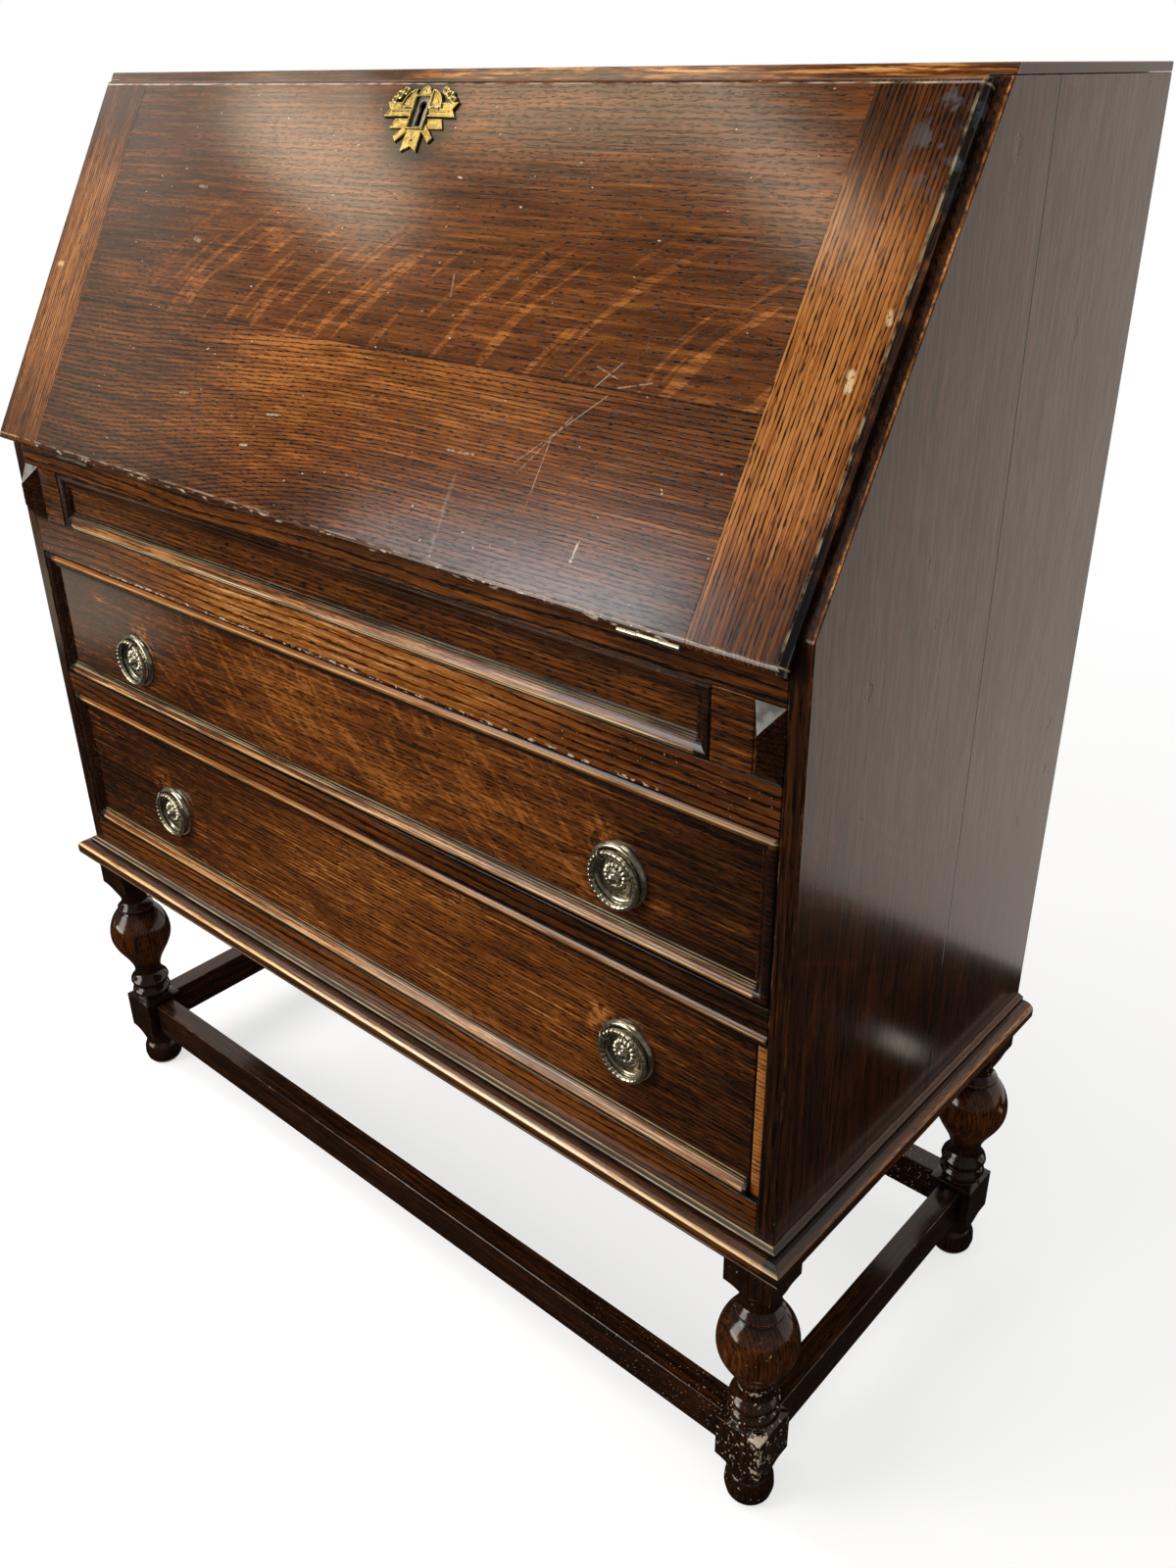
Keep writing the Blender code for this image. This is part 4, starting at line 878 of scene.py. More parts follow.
# Metal
def brass_material(name, edge, clean, dull, black, roughness, stain, bite):
    """Brass that is bright on its rubbed edges, and dark in its hollows with old polish and painted shade.
    """
    graph = Graph(bpy.data.materials.new(name))
    place = graph.place()
    mottle = graph.noise(place, 260, detail=3.0)
    hollow = graph.shelter(0.0035)
    rubbed, eased = graph.corners(bite)
    colour = graph.mix(graph.step(mottle, 0.36, 0.66), dull, clean)
    # Darker in the hollows: old polish there, and painted shade in the gaps and corners
    polish_and_shade = graph.step(hollow + (mottle - 0.5) * 0.5, stain, stain + 0.3)
    colour = graph.mix(polish_and_shade, colour, black)
    colour = graph.mix(rubbed * graph.step(mottle, 0.3, 0.55) * 0.85, colour, edge)
    rough = roughness + mottle * 0.12 + polish_and_shade * 0.25
    return graph.look({"Base Color": colour, "Roughness": rough, "Metallic": 0.92,
                       "Normal": graph.bump(mottle, 0.00002, eased)})


def steel_material():
    graph = Graph(bpy.data.materials.new("lock_steel"))
    mottle = graph.noise(graph.place(), 200, detail=3.0)
    colour = graph.mix(mottle, (0.16, 0.15, 0.14), (0.42, 0.40, 0.38))
    return graph.look({"Base Color": colour, "Roughness": 0.3 + mottle * 0.25, "Metallic": 1.0,
                       "Normal": graph.bump(mottle, 0.0001, graph.normal())})


# Meshes
def add_piece(name, shape, body, material, replaced=(), sharp=35.0):
    """A finished piece in the frame's own place that rides a body."""
    verts, faces = shape
    mesh = bpy.data.meshes.new(name)
    mesh.from_pydata([tuple(v) for v in verts], [], faces)
    tidy = bmesh.new()
    tidy.from_mesh(mesh)
    bmesh.ops.remove_doubles(tidy, verts=tidy.verts, dist=1e-6)
    bmesh.ops.recalc_face_normals(tidy, faces=tidy.faces)
    tidy.to_mesh(mesh)
    tidy.free()
    mesh.polygons.foreach_set("use_smooth", [True] * len(mesh.polygons))
    mesh.set_sharp_from_angle(angle=math.radians(sharp))
    mesh.materials.append(material)
    piece = bpy.data.objects.new(name, mesh)
    bpy.context.scene.collection.objects.link(piece)
    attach(piece, body)
    if replaced:
        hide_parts(*replaced)
    return piece


def turns(count):
    """Angles evenly round a circle."""
    return [2 * math.pi * i / count for i in range(count)]


def loft(rings, loop=False):
    """Faces between rings of points, with flat ends unless the rings close on themselves."""
    count = len(rings[0])
    verts = [point for ring in rings for point in ring]
    faces = []
    for r in range(len(rings) if loop else len(rings) - 1):
        for i in range(count):
            j = (i + 1) % count
            a, b = r * count, ((r + 1) % len(rings)) * count
            faces.append((a + i, a + j, b + j, b + i))
    if not loop:
        faces.append(tuple(range(count)))
        faces.append(tuple(len(verts) - 1 - i for i in range(count)))
    return verts, faces


def merge(*shapes):
    verts, faces = [], []
    for more_verts, more_faces in shapes:
        start = len(verts)
        verts.extend(more_verts)
        faces.extend(tuple(start + i for i in face) for face in more_faces)
    return verts, faces


def moved(shape, matrix):
    return [matrix @ Vector(v) for v in shape[0]], shape[1]


def torus(radius, tube, around, across, bulge=None):
    """A ring about the z axis; bulge gives the tube's size at each place."""
    rings = []
    for u in turns(around):
        ring = []
        for v in turns(across):
            size = tube if bulge is None else bulge(u, v)
            reach = radius + size * math.cos(v)
            ring.append((reach * math.cos(u), reach * math.sin(u), size * math.sin(v)))
        rings.append(ring)
    return loft(rings, loop=True)


# Legs
def leg_ring(centre, height, size, squareness):
    ring = []
    for angle in turns(LEG_SEGMENTS):
        c, s = math.cos(angle), math.sin(angle)
        reach = size * (1 + squareness * (1 / max(abs(c), abs(s)) - 1))
        ring.append((centre.x + reach * c, centre.y + reach * s, height))
    return ring


def leg_levels():
    """(height, half size, squareness) from the top down, with the bulb an ellipse over a wave."""
    start_z, start_radius = UPPER_TURNING[-1][:2]
    start = math.acos(start_radius / BULB[1])
    rise = (start_z - BULB[0]) / math.sin(start)
    bulb = []
    for i in range(1, BULB_STEPS + 1):
        angle = start * (1 - i / BULB_STEPS)
        bulb.append((BULB[0] + rise * math.sin(angle), BULB[1] * math.cos(angle), 0))
    for i in range(1, BULB_STEPS + 1):
        share = i / BULB_STEPS
        radius = NECK[1] + (BULB[1] - NECK[1]) * (0.5 + 0.5 * math.cos(math.pi * share))
        bulb.append((BULB[0] + (NECK[0] - BULB[0]) * share, radius, 0))
    return [(LEG_TOP, LEG_BLOCK, 1), (UPPER_BLOCK, LEG_BLOCK, 1), *UPPER_TURNING, *bulb, *LOWER_TURNING,
            (LOWER_BLOCK[0], LEG_BLOCK, 1), (LOWER_BLOCK[1], LEG_BLOCK, 1), *FOOT_TURNING]


def add_legs(material):
    for row in ("front", "back"):
        for side in SIDES:
            name = f"leg_{row}_{side}"
            low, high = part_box(name)
            centre = (low + high) / 2
            shape = loft([leg_ring(centre, *level) for level in leg_levels()])
            add_piece(f"turned_{name}", shape, "carcass", material, [name])


# Pulls
def rosette():
    """The pull's plate about its own middle, with its petals cut between the boss and the channel."""
    rings = []
    for radius, height in PLATE_SECTION:
        ring = []
        for angle in turns(PLATE_SEGMENTS):
            cut = 0.0
            if PETAL_BAND[0] <= radius <= PETAL_BAND[1]:
                cut = PETAL_DEPTH * (1 - abs(math.cos(PETALS * angle / 2)) ** 0.7)
            ring.append((radius * math.cos(angle), radius * math.sin(angle), height - cut))
        rings.append(ring)
    return loft(rings[1:])


def leaf_size(u, v):
    """Tube size of the ring, cut into overlapping leaves."""
    leaf = (LEAVES * u / (2 * math.pi) + 0.28 * abs(math.cos(v / 2))) % 1.0
    rib = 0.5 + 0.5 * math.cos(3 * v)
    return RING_TUBE * (0.80 + 0.20 * (1 - leaf) ** 0.7 - 0.06 * rib)


def add_pulls(material):
    for (level, side), (centre, way) in pulls.items():
        name = f"pull_{level}_{side}"
        turn = math.atan2(way.x, way.z)
        stand = Matrix.Translation(centre) @ Euler((math.pi / 2, turn, 0), "XYZ").to_matrix().to_4x4()
        eye = moved(torus(EYE_RADIUS, EYE_TUBE, *EYE_STEPS), Matrix.Rotation(math.pi / 2, 4, "Y"))
        eye = moved(eye, Matrix.Translation((0, PIVOT_RADIUS, RING_HEIGHT)))
        plate = merge(moved(rosette(), stand), moved(eye, stand))
        add_piece(f"{name}_rosette", plate, f"drawer_{level}", material,
                  [f"{name}_plate"], CARVED_EDGE)
        hang = Matrix.Translation((0, PIVOT_RADIUS - RING_RADIUS, RING_HEIGHT))
        ring = moved(torus(RING_RADIUS, RING_TUBE, *RING_STEPS, leaf_size), stand @ hang)
        add_piece(f"{name}_laurel", ring, f"ring_{level}_{side}", material,
                  [f"{name}_ring"], CARVED_EDGE)


# Escutcheon, in millimetres right of its middle and below its crest
MM = 0.001
KEY_CENTRE = 15.0
KEY_RADIUS = 3.9
KEY_SLOT = 2.6
KEY_FOOT = 30.5
FLOOR_HEIGHT = 0.5
PIECE_BACK = 0.3
KNOB_SIDES = 20
KNOB_STEPS = 6


def inset_outline(outline, distance):
    """The outline moved in by a distance along the bisector at each corner."""
    count = len(outline)
    pairs = [(outline[i - 1], outline[i]) for i in range(count)]
    area = sum(a[0] * b[1] - b[0] * a[1] for a, b in pairs)
    sign = 1 if area > 0 else -1
    moved_in = []
    for i in range(count):
        here = Vector(outline[i])
        before = (here - Vector(outline[i - 1])).normalized()
        after = (Vector(outline[(i + 1) % count]) - here).normalized()
        inward = Vector((-before.y - after.y, before.x + after.x)) * sign
        scale = max(inward.length_squared / 2, 0.35)
        moved_in.append(tuple(here + inward * (distance / scale)))
    return moved_in


def plaque(outline, top, ease=0.35, sunk=0.0, rim=0.9):
    """A flat piece with its upper edge bevelled, and its field sunk inside a rim if asked."""
    rings = [[(x, y, PIECE_BACK) for x, y in outline], [(x, y, top - ease) for x, y in outline],
             [(x, y, top) for x, y in inset_outline(outline, ease)]]
    if sunk:
        rings.append([(x, y, top) for x, y in inset_outline(outline, rim)])
        rings.append([(x, y, top - sunk) for x, y in inset_outline(outline, rim + sunk * 0.6)])
    return loft(rings)


def mirrored(outline):
    return [(-x, y) for x, y in reversed(outline)]


def arc(centre, radius, start, end, steps):
    """Points of an arc; angles in degrees from the right towards the crest."""
    angles = [math.radians(start + (end - start) * i / steps) for i in range(steps + 1)]
    return [(centre[0] + radius * math.cos(t), centre[1] - radius * math.sin(t)) for t in angles]


def knob(centre, radius, height):
    """A small dome, for the pins and the eyes of the scrolls."""
    circle = turns(KNOB_SIDES)
    rings = []
    for i in range(KNOB_STEPS):
        angle = i * math.pi / (2 * KNOB_STEPS)
        size = radius * math.cos(angle)
        z = PIECE_BACK + (height - PIECE_BACK) * math.sin(angle)
        rings.append([(centre[0] + size * math.cos(t), centre[1] + size * math.sin(t), z) for t in circle])
    return loft(rings)


def scroll(centre, radius, height):
    """A rolled end of leaf: a ring round a dome."""
    ring = torus(radius * 0.72, radius * 0.30, 28, 10)
    ring = moved(ring, Matrix.Translation((centre[0], centre[1], height - radius * 0.30)))
    under = knob(centre, radius * 0.9, height - radius * 0.25)
    return merge(under, ring, knob(centre, radius * 0.32, height + 0.2))


def keyhole_outline():
    """The round of the key's pipe and the flared slot of its bit, clockwise from the slot's right top."""
    start = math.degrees(math.acos(KEY_SLOT / KEY_RADIUS))
    top = arc((0, KEY_CENTRE), KEY_RADIUS, -start, 180 + start, 24)
    return [*top, (-KEY_SLOT * 1.15, KEY_FOOT), (KEY_SLOT * 1.15, KEY_FOOT)]


def lock_floor(half, top, bottom):
    """The sunk floor inside the frame, with the keyhole through it."""
    outer = [(-half, top), (half, top), (half, bottom), (-half, bottom)]
    hole = keyhole_outline()
    loops = [[Vector((x, y, 0)) for x, y in outer], [Vector((x, y, 0)) for x, y in hole]]
    flat = [*outer, *hole]
    triangles = tessellate_polygon(loops)
    count = len(flat)
    verts = [(x, y, FLOOR_HEIGHT) for x, y in flat] + [(x, y, PIECE_BACK) for x, y in flat]
    faces = [tuple(t) for t in triangles] + [tuple(count + i for i in t) for t in triangles]
    for first, size in ((0, len(outer)), (len(outer), len(hole))):
        for i in range(size):
            j = first + (i + 1) % size
            faces.append((first + i, j, count + j, count + first + i))
    return verts, faces


def rect_frame(outer, inner, top, ease):
    """A bevelled frame between two upright rectangles given as half width, upper and lower edge."""
    def ring(half, high, low, inset, z):
        return [(-half + inset, high + inset, z), (half - inset, high + inset, z),
                (half - inset, low - inset, z), (-half + inset, low - inset, z)]
    rings = [ring(*outer, 0.0, PIECE_BACK), ring(*outer, 0.0, top - ease), ring(*outer, ease, top),
             ring(*inner, -ease, top), ring(*inner, 0.0, top - ease), ring(*inner, 0.0, PIECE_BACK)]
    return loft(rings, loop=True)


def escutcheon_shapes():
    strap = [(8.0, 13.4), (38.6, 12.4), (34.3, 18.2), (39.0, 24.2), (8.0, 23.6)]
    strap_bead = [(8.5, 19.0), (31.0, 19.0), (31.0, 20.1), (8.5, 20.1)]
    lower = [(8.0, 25.0), (25.2, 25.0), (29.2, 32.8), (8.0, 32.8)]
    tab = [(7.0, 29.6), (10.5, 29.0), (22.2, 39.4), (18.0, 43.6), (7.0, 34.6)]
    fan = [(8.4, 17.6), *arc((7.6, 17.6), 14.6, 88, 2, 16)]
    curl = [*arc((14.0, 30.0), 14.4, 118, 66, 10), *arc((14.0, 30.0), 12.4, 66, 118, 10)]
    shapes = []
    for flip in (lambda outline: outline, mirrored):
        shapes += [plaque(flip(lower), 1.3, 0.3, sunk=0.3, rim=1.0), plaque(flip(tab), 1.7, 0.6)]
        shapes += [plaque(flip(strap), 2.0, 0.3, sunk=0.4, rim=1.1), plaque(flip(strap_bead), 2.2, 0.3)]
        shapes += [plaque(flip(fan), 2.9, 0.4, sunk=1.0, rim=1.3), plaque(flip(curl), 2.6, 0.6)]
    for sign in (-1, 1):
        shapes += [scroll((sign * 21.6, 4.2), 3.3, 2.8), scroll((sign * 27.0, 7.2), 3.6, 2.9)]
        shapes += [scroll((sign * 31.6, 10.8), 3.0, 2.6)]
    crest = [(-8.8, 8.2), (-3.0, 0.9), (0.0, 0.0), (3.0, 0.9), (8.8, 8.2)]
    tail = [(-8.2, 33.4), (8.2, 33.4), (8.6, 50.6), (0.0, 46.6), (-8.6, 50.6)]
    shapes += [plaque(crest, 2.2, 0.5, sunk=0.4, rim=1.2), plaque(tail, 1.9, 0.5)]
    shapes += [knob((0, 41.6), 2.0, 3.1), knob((0, 4.2), 1.4, 2.6)]
    shapes += [rect_frame((9.4, 7.2, 34.0), (7.3, 9.0, 32.2), 3.0, 0.6)]
    return shapes


def add_escutcheon(material, steel):
    crest = max((v.co - PIN).dot(UP_SLOPE) for v in nodes["escutcheon"].data.vertices)
    right = Vector((1, 0, 0))
    base = PIN + UP_SLOPE * crest + OUT_OF_SLOPE * FALL_FACE

    def placed(shape):
        verts = [base + (right * v[0] - UP_SLOPE * v[1] + OUT_OF_SLOPE * v[2]) * MM for v in shape[0]]
        return verts, shape[1]

    strapwork = placed(merge(*escutcheon_shapes()))
    add_piece("escutcheon_strapwork", strapwork, "fall", material, ["escutcheon"], 30.0)
    add_piece("escutcheon_floor", placed(lock_floor(7.4, 8.9, 32.3)), "fall", steel)


# Stage
def look_at(eye, target):
    return (Vector(target) - Vector(eye)).to_track_quat("-Z", "Y").to_euler()


def add_camera():
    lens = bpy.data.cameras.new("photo_camera")
    lens.sensor_width = SENSOR
    lens.lens = FOCAL_PIXELS * SENSOR / max(PICTURE)
    lens.shift_x = (PICTURE[0] / 2 - PRINCIPAL_POINT[0]) / max(PICTURE)
    lens.shift_y = (PRINCIPAL_POINT[1] - PICTURE[1] / 2) / max(PICTURE)
    camera = bpy.data.objects.new("photo_camera", lens)
    camera.location = CAMERA
    camera.rotation_euler = Euler([math.radians(turn) for turn in CAMERA_TURN], "XYZ")
    bpy.context.scene.collection.objects.link(camera)
    bpy.context.scene.camera = camera


def add_lamp(name, at, target, size, power, tint):
    lamp = bpy.data.lights.new(name, "AREA")
    lamp.shape = "RECTANGLE"
    lamp.size, lamp.size_y = size
    lamp.energy = power
    lamp.color = tint
    made = bpy.data.objects.new(name, lamp)
    made.location = at
    made.rotation_euler = look_at(at, target)
    made.visible_glossy = False
    bpy.context.scene.collection.objects.link(made)


def seen_directly(graph):
    """1 for what the camera sees straight, in a mirror or through glass."""
    path = graph.node("LightPath").outputs
    return graph.most(path["Is Camera Ray"], path["Is Glossy Ray"], path["Is Transmission Ray"])


def flat_object(name, corners, material, faces=None):
    mesh = bpy.data.meshes.new(name)
    mesh.from_pydata([tuple(corner) for corner in corners], [], faces or [tuple(range(len(corners)))])
    mesh.materials.append(material)
    flat = bpy.data.objects.new(name, mesh)
    bpy.context.scene.collection.objects.link(flat)
    return flat


def lying(low, high, z):
    """Corners of a flat card at a height, between two opposite ones."""
    return [(low[0], low[1], z), (high[0], low[1], z), (high[0], high[1], z), (low[0], high[1], z)]


def upright(a, b, low, high):
    """Corners of an upright card over the line between two places."""
    return [(*a, low), (*b, low), (*b, high), (*a, high)]


def add_floor():
    """A pale floor that keeps the shadow and is seen as white away from it."""
    half = 12.0
    shadow, white_from = 0.8, 2.2
    graph = Graph(bpy.data.materials.new("floor"))
    graph.look({"Base Color": (0.42, 0.42, 0.42, 1.0), "Roughness": 0.9, "Specular IOR Level": 0.0})
    away = graph.measure("LENGTH", graph.place())
    own = graph.step(away, shadow, white_from, 0.66, 1.0)
    seen = seen_directly(graph)
    white = graph.node("Emission", {"Strength": own * seen})
    share = graph.step(away, shadow, white_from) * seen
    fade = graph.node("MixShader", {0: share, 1: graph.shader.outputs[0]})
    graph.surface(graph.node("AddShader", {0: fade.outputs[0], 1: white.outputs[0]}))
    flat_object("floor", lying((-half, -half), (half, half), 0), graph.owner)


def show_glow(graph, colour):
    graph.surface(graph.node("Emission", {"Color": colour, "Strength": 1.0}))


def hide_card(card):
    """Cards only show in reflections, as the room round the photographed piece did."""
    card.visible_camera = False
    card.visible_diffuse = False
    card.visible_shadow = False
    card.visible_transmission = False


def add_card(name, corners, level):
    graph = Graph(bpy.data.materials.new(name))
    show_glow(graph, (*level, 1.0))
    hide_card(flat_object(name, corners, graph.owner))


def add_glow(name, spot, across, up, reach, extent, glows):
    """A card, seen over a flat shiny face from the camera, that glows softly along strokes over it."""
    normal = across.cross(up)
    eye = CAMERA - normal * (2 * (CAMERA - spot).dot(normal))
    (left, right), (low, high) = extent
    columns, rows = 24, 12
    places = [(left + (right - left) * i / columns, low + (high - low) * j / rows)
              for j in range(rows + 1) for i in range(columns + 1)]
    points = [spot + across * x + up * a for x, a in places]
    verts = [point + (point - eye).normalized() * reach for point in points]
    faces = [(k, k + 1, k + columns + 2, k + columns + 1) for k in range(rows * (columns + 1))
             if k % (columns + 1) < columns]
    graph = Graph(bpy.data.materials.new(name))
    flat = graph.split(graph.value("TexCoord", output="UV"))
    flat = graph.join(flat[0], flat[1], 0.0)
    colour = (0.0, 0.0, 0.0)
    for start, end, width, level in glows:
        colour = graph.mix(graph.stroke(flat, (*start, 0), (*end, 0), width), colour, level)
    show_glow(graph, colour)
    card = flat_object(name, verts, graph.owner, faces)
    layer = card.data.uv_layers.new(name="place")
    for loop in card.data.loops:
        layer.data[loop.index].uv = places[loop.vertex_index]
    hide_card(card)


def add_room():
    left, right, near, high = -3.2, 3.2, -3.6, 3.0
    wall, low = 0.66, 0.004
    a, b, c, d = (left, near), (right, near), (right, wall), (left, wall)
    dim = (0.16, 0.155, 0.145)
    add_card("room_floor", lying(a, c, low), (0.014, 0.012, 0.011))
    add_card("room_wall", upright(d, c, low, high), (0.84, 0.74, 0.66))
    add_card("room_front", upright(a, b, low, high), dim)
    add_card("room_left", upright(a, d, low, high), dim)
    add_card("room_right", upright(b, c, low, high), (0.22, 0.21, 0.20))
    add_card("room_ceiling", lying(a, c, high), dim)


# Where the photographed room's windows show: strokes from and to, width and level over the fall (across,
# up the slope), the front (across, height) and the right side (back, height)
FALL_GLOW = [
    ((-0.400, 0.200), (-0.280, 0.060), 0.250, (0.62, 0.62, 0.52)),
    ((-0.380, 0.300), (-0.330, 0.260), 0.120, (1.10, 1.05, 0.90)),
    ((-0.200, 0.322), (-0.015, 0.250), 0.060, (5.6, 4.6, 3.4)),
    ((-0.100, 0.345), (-0.020, 0.262), 0.030, (5.0, 4.1, 3.0)),
    ((0.040, 0.330), (0.260, 0.338), 0.052, (5.6, 4.6, 3.2)),
    ((0.265, 0.336), (0.385, 0.254), 0.034, (6.0, 5.0, 3.8)),
    ((0.100, -0.010), (0.345, 0.020), 0.062, (4.0, 4.1, 4.2)),
    ((0.230, -0.010), (0.335, 0.004), 0.040, (8.0, 8.2, 8.5))]
FRONT_GLOW = [((-0.440, 0.585), (-0.330, 0.580), 0.140, (1.0, 0.80, 0.62))]
SIDE_GLOW = [((-0.052, 0.416), (-0.006, 0.374), 0.011, (1.3, 1.2, 1.0))]


def add_sheen():
    right, up, back = Vector((1, 0, 0)), Vector((0, 0, 1)), Vector((0, 1, 0))
    add_glow("windows_over_fall", PIN + OUT_OF_SLOPE * FALL_FACE, right, UP_SLOPE, 1.9,
             ((-0.50, 0.50), (-0.06, 0.42)), FALL_GLOW)
    front = Vector((0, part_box("drawer_upper_front")[0].y, 0))
    add_glow("haze_over_front", front, right, up, 1.6, ((-0.60, -0.10), (0.40, 0.75)), FRONT_GLOW)
    side = Vector((X_OUT, 0, 0))
    add_glow("gap_over_side", side, back, up, 0.42, ((-0.10, 0.02), (0.34, 0.45)), SIDE_GLOW)
    add_card("window_tall", upright((-1.35, -1.6), (-0.55, -2.0), 0.35, 1.40), (5.4, 5.2, 4.9))
    add_card("window_low", upright((-3.1, -2.9), (-0.9, -3.4), 0.02, 0.50), (8.0, 7.2, 6.0))


def add_high_windows():
    """Windows that only bevels, beads, moulding slopes and brass can see."""
    add_card("window_slopes", upright((-1.9, -2.2), (-0.8, -2.6), 1.40, 3.00), (8.0, 7.8, 7.4))
    add_card("window_high", upright((-2.3, -1.5), (-2.3, -0.1), 1.90, 2.95), (4.0, 3.9, 3.7))
    add_card("window_over", lying((-0.6, -0.9), (0.5, -0.2), 2.9), (6.0, 5.9, 5.6))


def add_light():
    add_lamp("key", (-0.95, -1.85, 1.60), (0.10, -0.15, 0.65), (1.0, 1.2), 34.0, (1.0, 0.97, 0.92))
    add_lamp("left", (-1.85, -0.60, 1.95), (-0.10, -0.06, 0.85), (0.9, 0.9), 20.0, (1.0, 0.97, 0.92))
    add_lamp("overhead", (0.2, -0.4, 2.8), (0.0, 0.0, 0.5), (1.6, 1.6), 18.0, (1.0, 0.98, 0.95))
    graph = Graph(bpy.data.worlds.new("studio"))
    bpy.context.scene.world = graph.owner
    light = graph.tree.nodes["Background"]
    graph.feed(light.inputs["Color"], (1.0, 0.98, 0.95, 1.0))
    graph.feed(light.inputs["Strength"], 0.50)
    white = graph.node("Background", {"Color": (1.0, 1.0, 1.0, 1.0)})
    both = {0: seen_directly(graph), 1: light.outputs[0], 2: white.outputs[0]}
    graph.surface(graph.node("MixShader", both), "World Output")


# Finishes on the CAD nodes
def paint(names, material):
    for name in names:
        mesh = nodes[name].data
        mesh.materials.clear()
        mesh.materials.append(material)


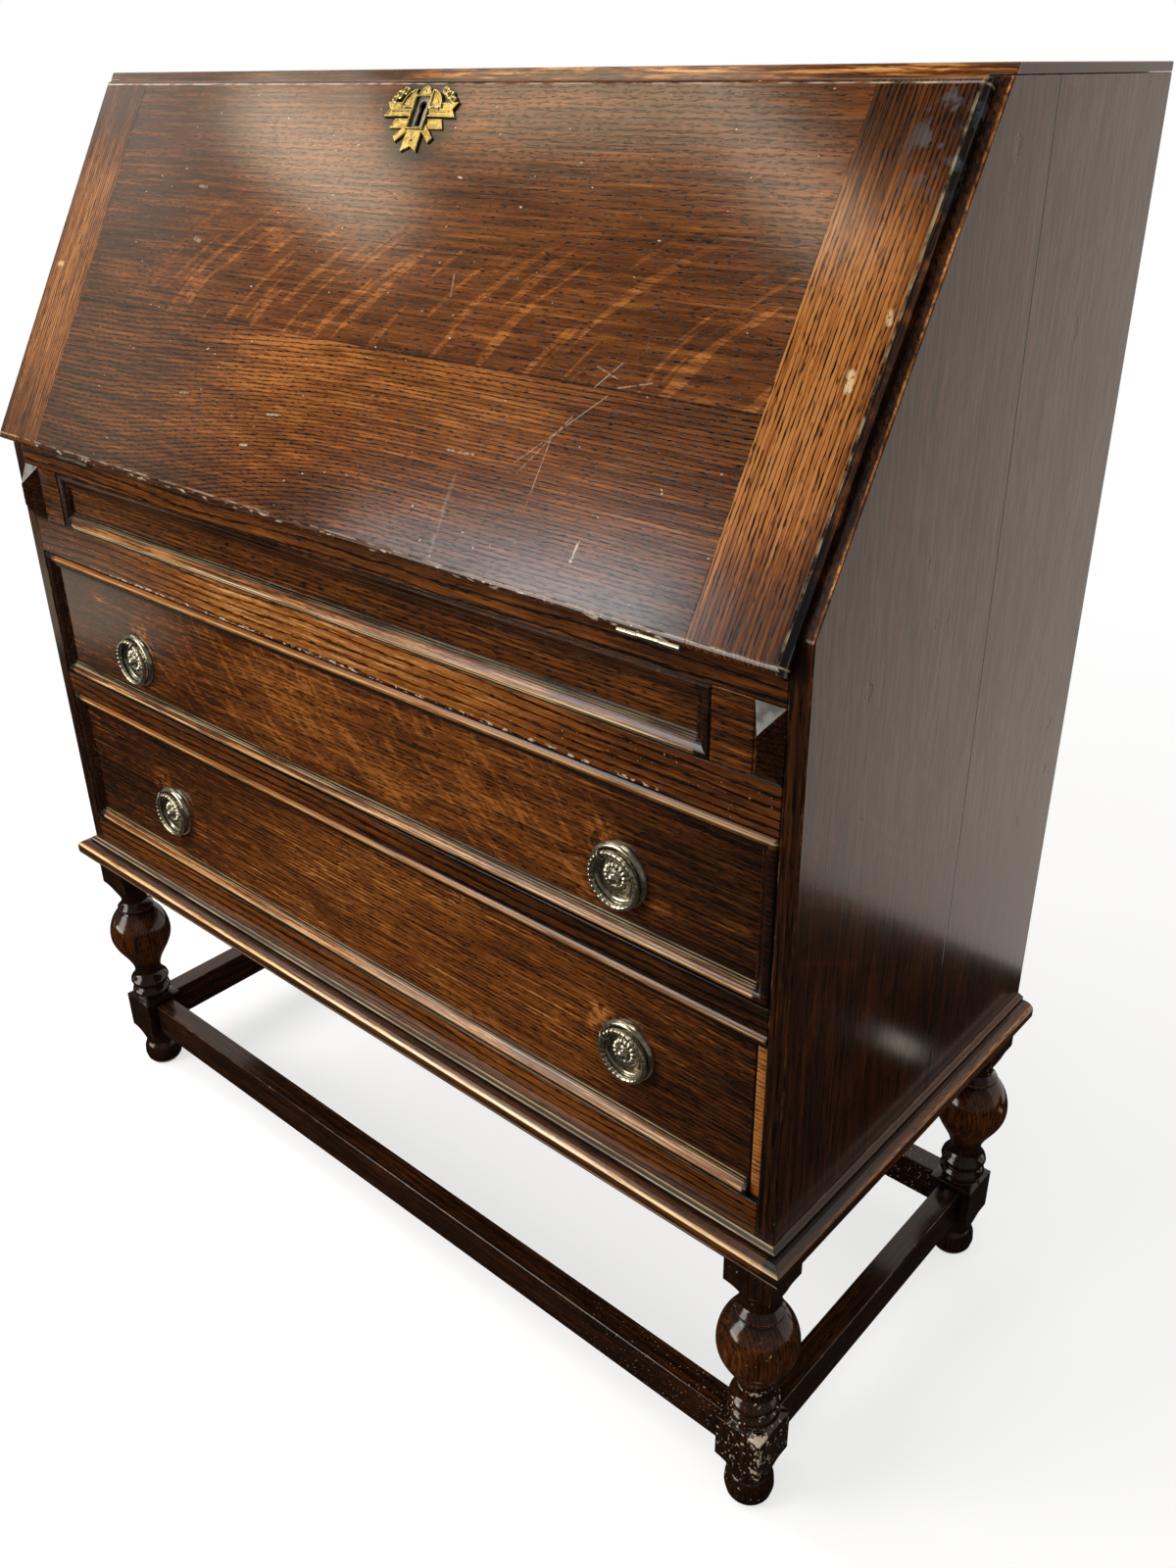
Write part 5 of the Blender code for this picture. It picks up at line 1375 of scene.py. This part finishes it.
def paint_frame(leg_look, aged, bright, steel):
    strip = {"wear": 0.6, "ease": 0.0004, "relief": 0.00002, "shine": 0.4, "coat": 0.10, "pale": GILT,
             "streaks": 0.7, "pores": 0.2}
    base = {"wear": 0.6, "ease": 0.0006, "relief": 0.00003}
    stretcher = {"wear": 0.9, "streaks": 0.9}
    paint(["side_left", "side_right", "back_panel"],
          oak("side_oak", "z", 0.30, seed=1.0, gloss=0.13, wear=0.9, cloud=0.40, pores=0.26,
              pore_length=0.020, streaks=0.9, pore_width=0.0014, rings=0.05, relief=0.00007, ease=0.0012,
              shine=0.29, coat=0.20, extra=side_extra, tint=side_painted_sheen, dents=side_dents))
    paint(["top_board"], oak("top_oak", "x", 0.36, seed=2.0, extra=top_extra))
    paint(["writing_bed", "drawer_divider", "frieze_rail", "base_rail", "bottom_board"],
          oak("rail_oak", "x", 0.50, seed=3.0, spacing=0.0085, wander=5.0, rings=0.34, pores=0.28,
              streaks=1.05, ease=0.0004, extra=rail_extra, flecks_and_highlights=rail_flecks))
    paint(["frieze_front"],
          oak("frieze_oak", "x", 0.49, seed=4.0, streaks=1.3, pores=0.40, pore_width=0.0014))
    paint(["frieze_moulding"],
          oak("frieze_moulding_oak", "x", 0.34, seed=5.0, cap=0.86, extra=frieze_mould_extra,
              flecks_and_highlights=frieze_mould_painted_highlights, dull=frieze_mould_dull, **strip))
    paint(["drawer_upper_moulding", "drawer_lower_moulding"],
          oak("moulding_oak", "x", 0.38, seed=5.5, cap=0.93, extra=mould_extra, flecks_and_highlights=mould_painted_highlights,
              tint=mould_tint, dull=mould_dull, **strip))
    paint(["base_moulding_front"],
          oak("base_oak", "x", 0.34, seed=6.0, shine=0.5, coat=0.10, pale=GILT, extra=base_extra(0.40),
              flecks_and_highlights=base_painted_highlights, dull=base_dull, **base))
    paint(["base_moulding_left", "base_moulding_right"],
          oak("base_end_oak", "y", 0.50, seed=6.5, extra=base_extra(0.12), **base))
    paint(["fall_panel"],
          oak("fall_oak", "slope", 0.585, seed=7.0, spacing=0.0042, wander=2.0, rings=fall_rings,
              sweep=fall_sweep, point=on_fall, extra=fall_extra, flecks_and_highlights=fall_flecks, wear=0.5, pores=0.32,
              pore_length=0.007, pore_width=0.0012, streaks=1.0, cap=0.82, relief=0.00012))
    paint(["fall_cleat_left", "fall_cleat_right"],
          oak("cleat_oak", "cleat", 0.80, seed=8.0, spacing=0.0034, wander=1.6, rings=0.30, pores=0.42,
              streaks=0.9, cap=0.84, pale=GILT, point=on_fall, extra=cleat_extra, flecks_and_highlights=cleat_flecks,
              tint=cleat_tint))
    for i, level in enumerate(LEVELS):
        paint([f"drawer_{level}_front"],
              oak(f"drawer_{level}_oak", "x", 0.44, seed=9.0 + i, wander=4.0, rings=0.03 + 0.09 * i,
                  cloud=0.56, streaks=1.25, pores=0.30, pore_length=0.008, pore_width=0.0012, scuffs=0.26,
                  cap=0.80 + 0.07 * i, shine=0.42, extra=drawer_extra(level)))
    paint(["loper_left", "loper_right"],
          oak("loper_oak", "y", 0.28, seed=11.0, wear=0.7, tint=loper_painted_reflection))
    paint(["stretcher_front", "stretcher_back"],
          oak("stretcher_oak", "x", 0.23, seed=12.0, flecks_and_highlights=stretcher_flecks, **stretcher))
    paint(["stretcher_left", "stretcher_right"],
          oak("stretcher_end_oak", "y", 0.25, seed=12.5, **stretcher))
    paint([name for name in nodes if name.startswith("leg_")], leg_look)
    inside = oak("inside_wood", "y", 0.5, seed=13.0, gloss=0.5, wear=0.1, stain=INSIDE, coat=0.0)
    hidden = ("pigeonhole_", "loper_runner", "lower_dust")
    paint([name for name in nodes if name.startswith(hidden)], inside)
    for level in LEVELS:
        parts = ("side_left", "side_right", "bottom", "back")
        paint([f"drawer_{level}_{part}" for part in parts], inside)
    paint([name for name in nodes if name.startswith(("pull_", "hinge_"))], aged)
    paint(["escutcheon"], bright)
    paint(["lock_case", "lock_bolt"], steel)


def main():
    bpy.context.scene.view_settings.view_transform = "Standard"
    leg_look = oak("leg_oak", "z", 0.21, seed=14.0, gloss=0.08, wear=0.7, streaks=0.5, extra=leg_extra,
                   flecks_and_highlights=leg_flecks)
    aged = brass_material("aged_brass", (0.90, 0.86, 0.72), (0.52, 0.48, 0.37), (0.34, 0.305, 0.215),
                          (0.007, 0.006, 0.005), 0.11, 0.30, 0.0004)
    bright = brass_material("bright_brass", (1.0, 0.92, 0.68), (0.56, 0.45, 0.17), (0.34, 0.26, 0.075),
                            (0.010, 0.007, 0.004), 0.11, 0.20, 0.0003)
    steel = steel_material()
    paint_frame(leg_look, aged, bright, steel)
    add_legs(leg_look)
    add_pulls(aged)
    add_escutcheon(bright, steel)
    add_floor()
    add_room()
    add_sheen()
    add_high_windows()
    add_light()
    add_camera()


pulls = pull_places()
main()
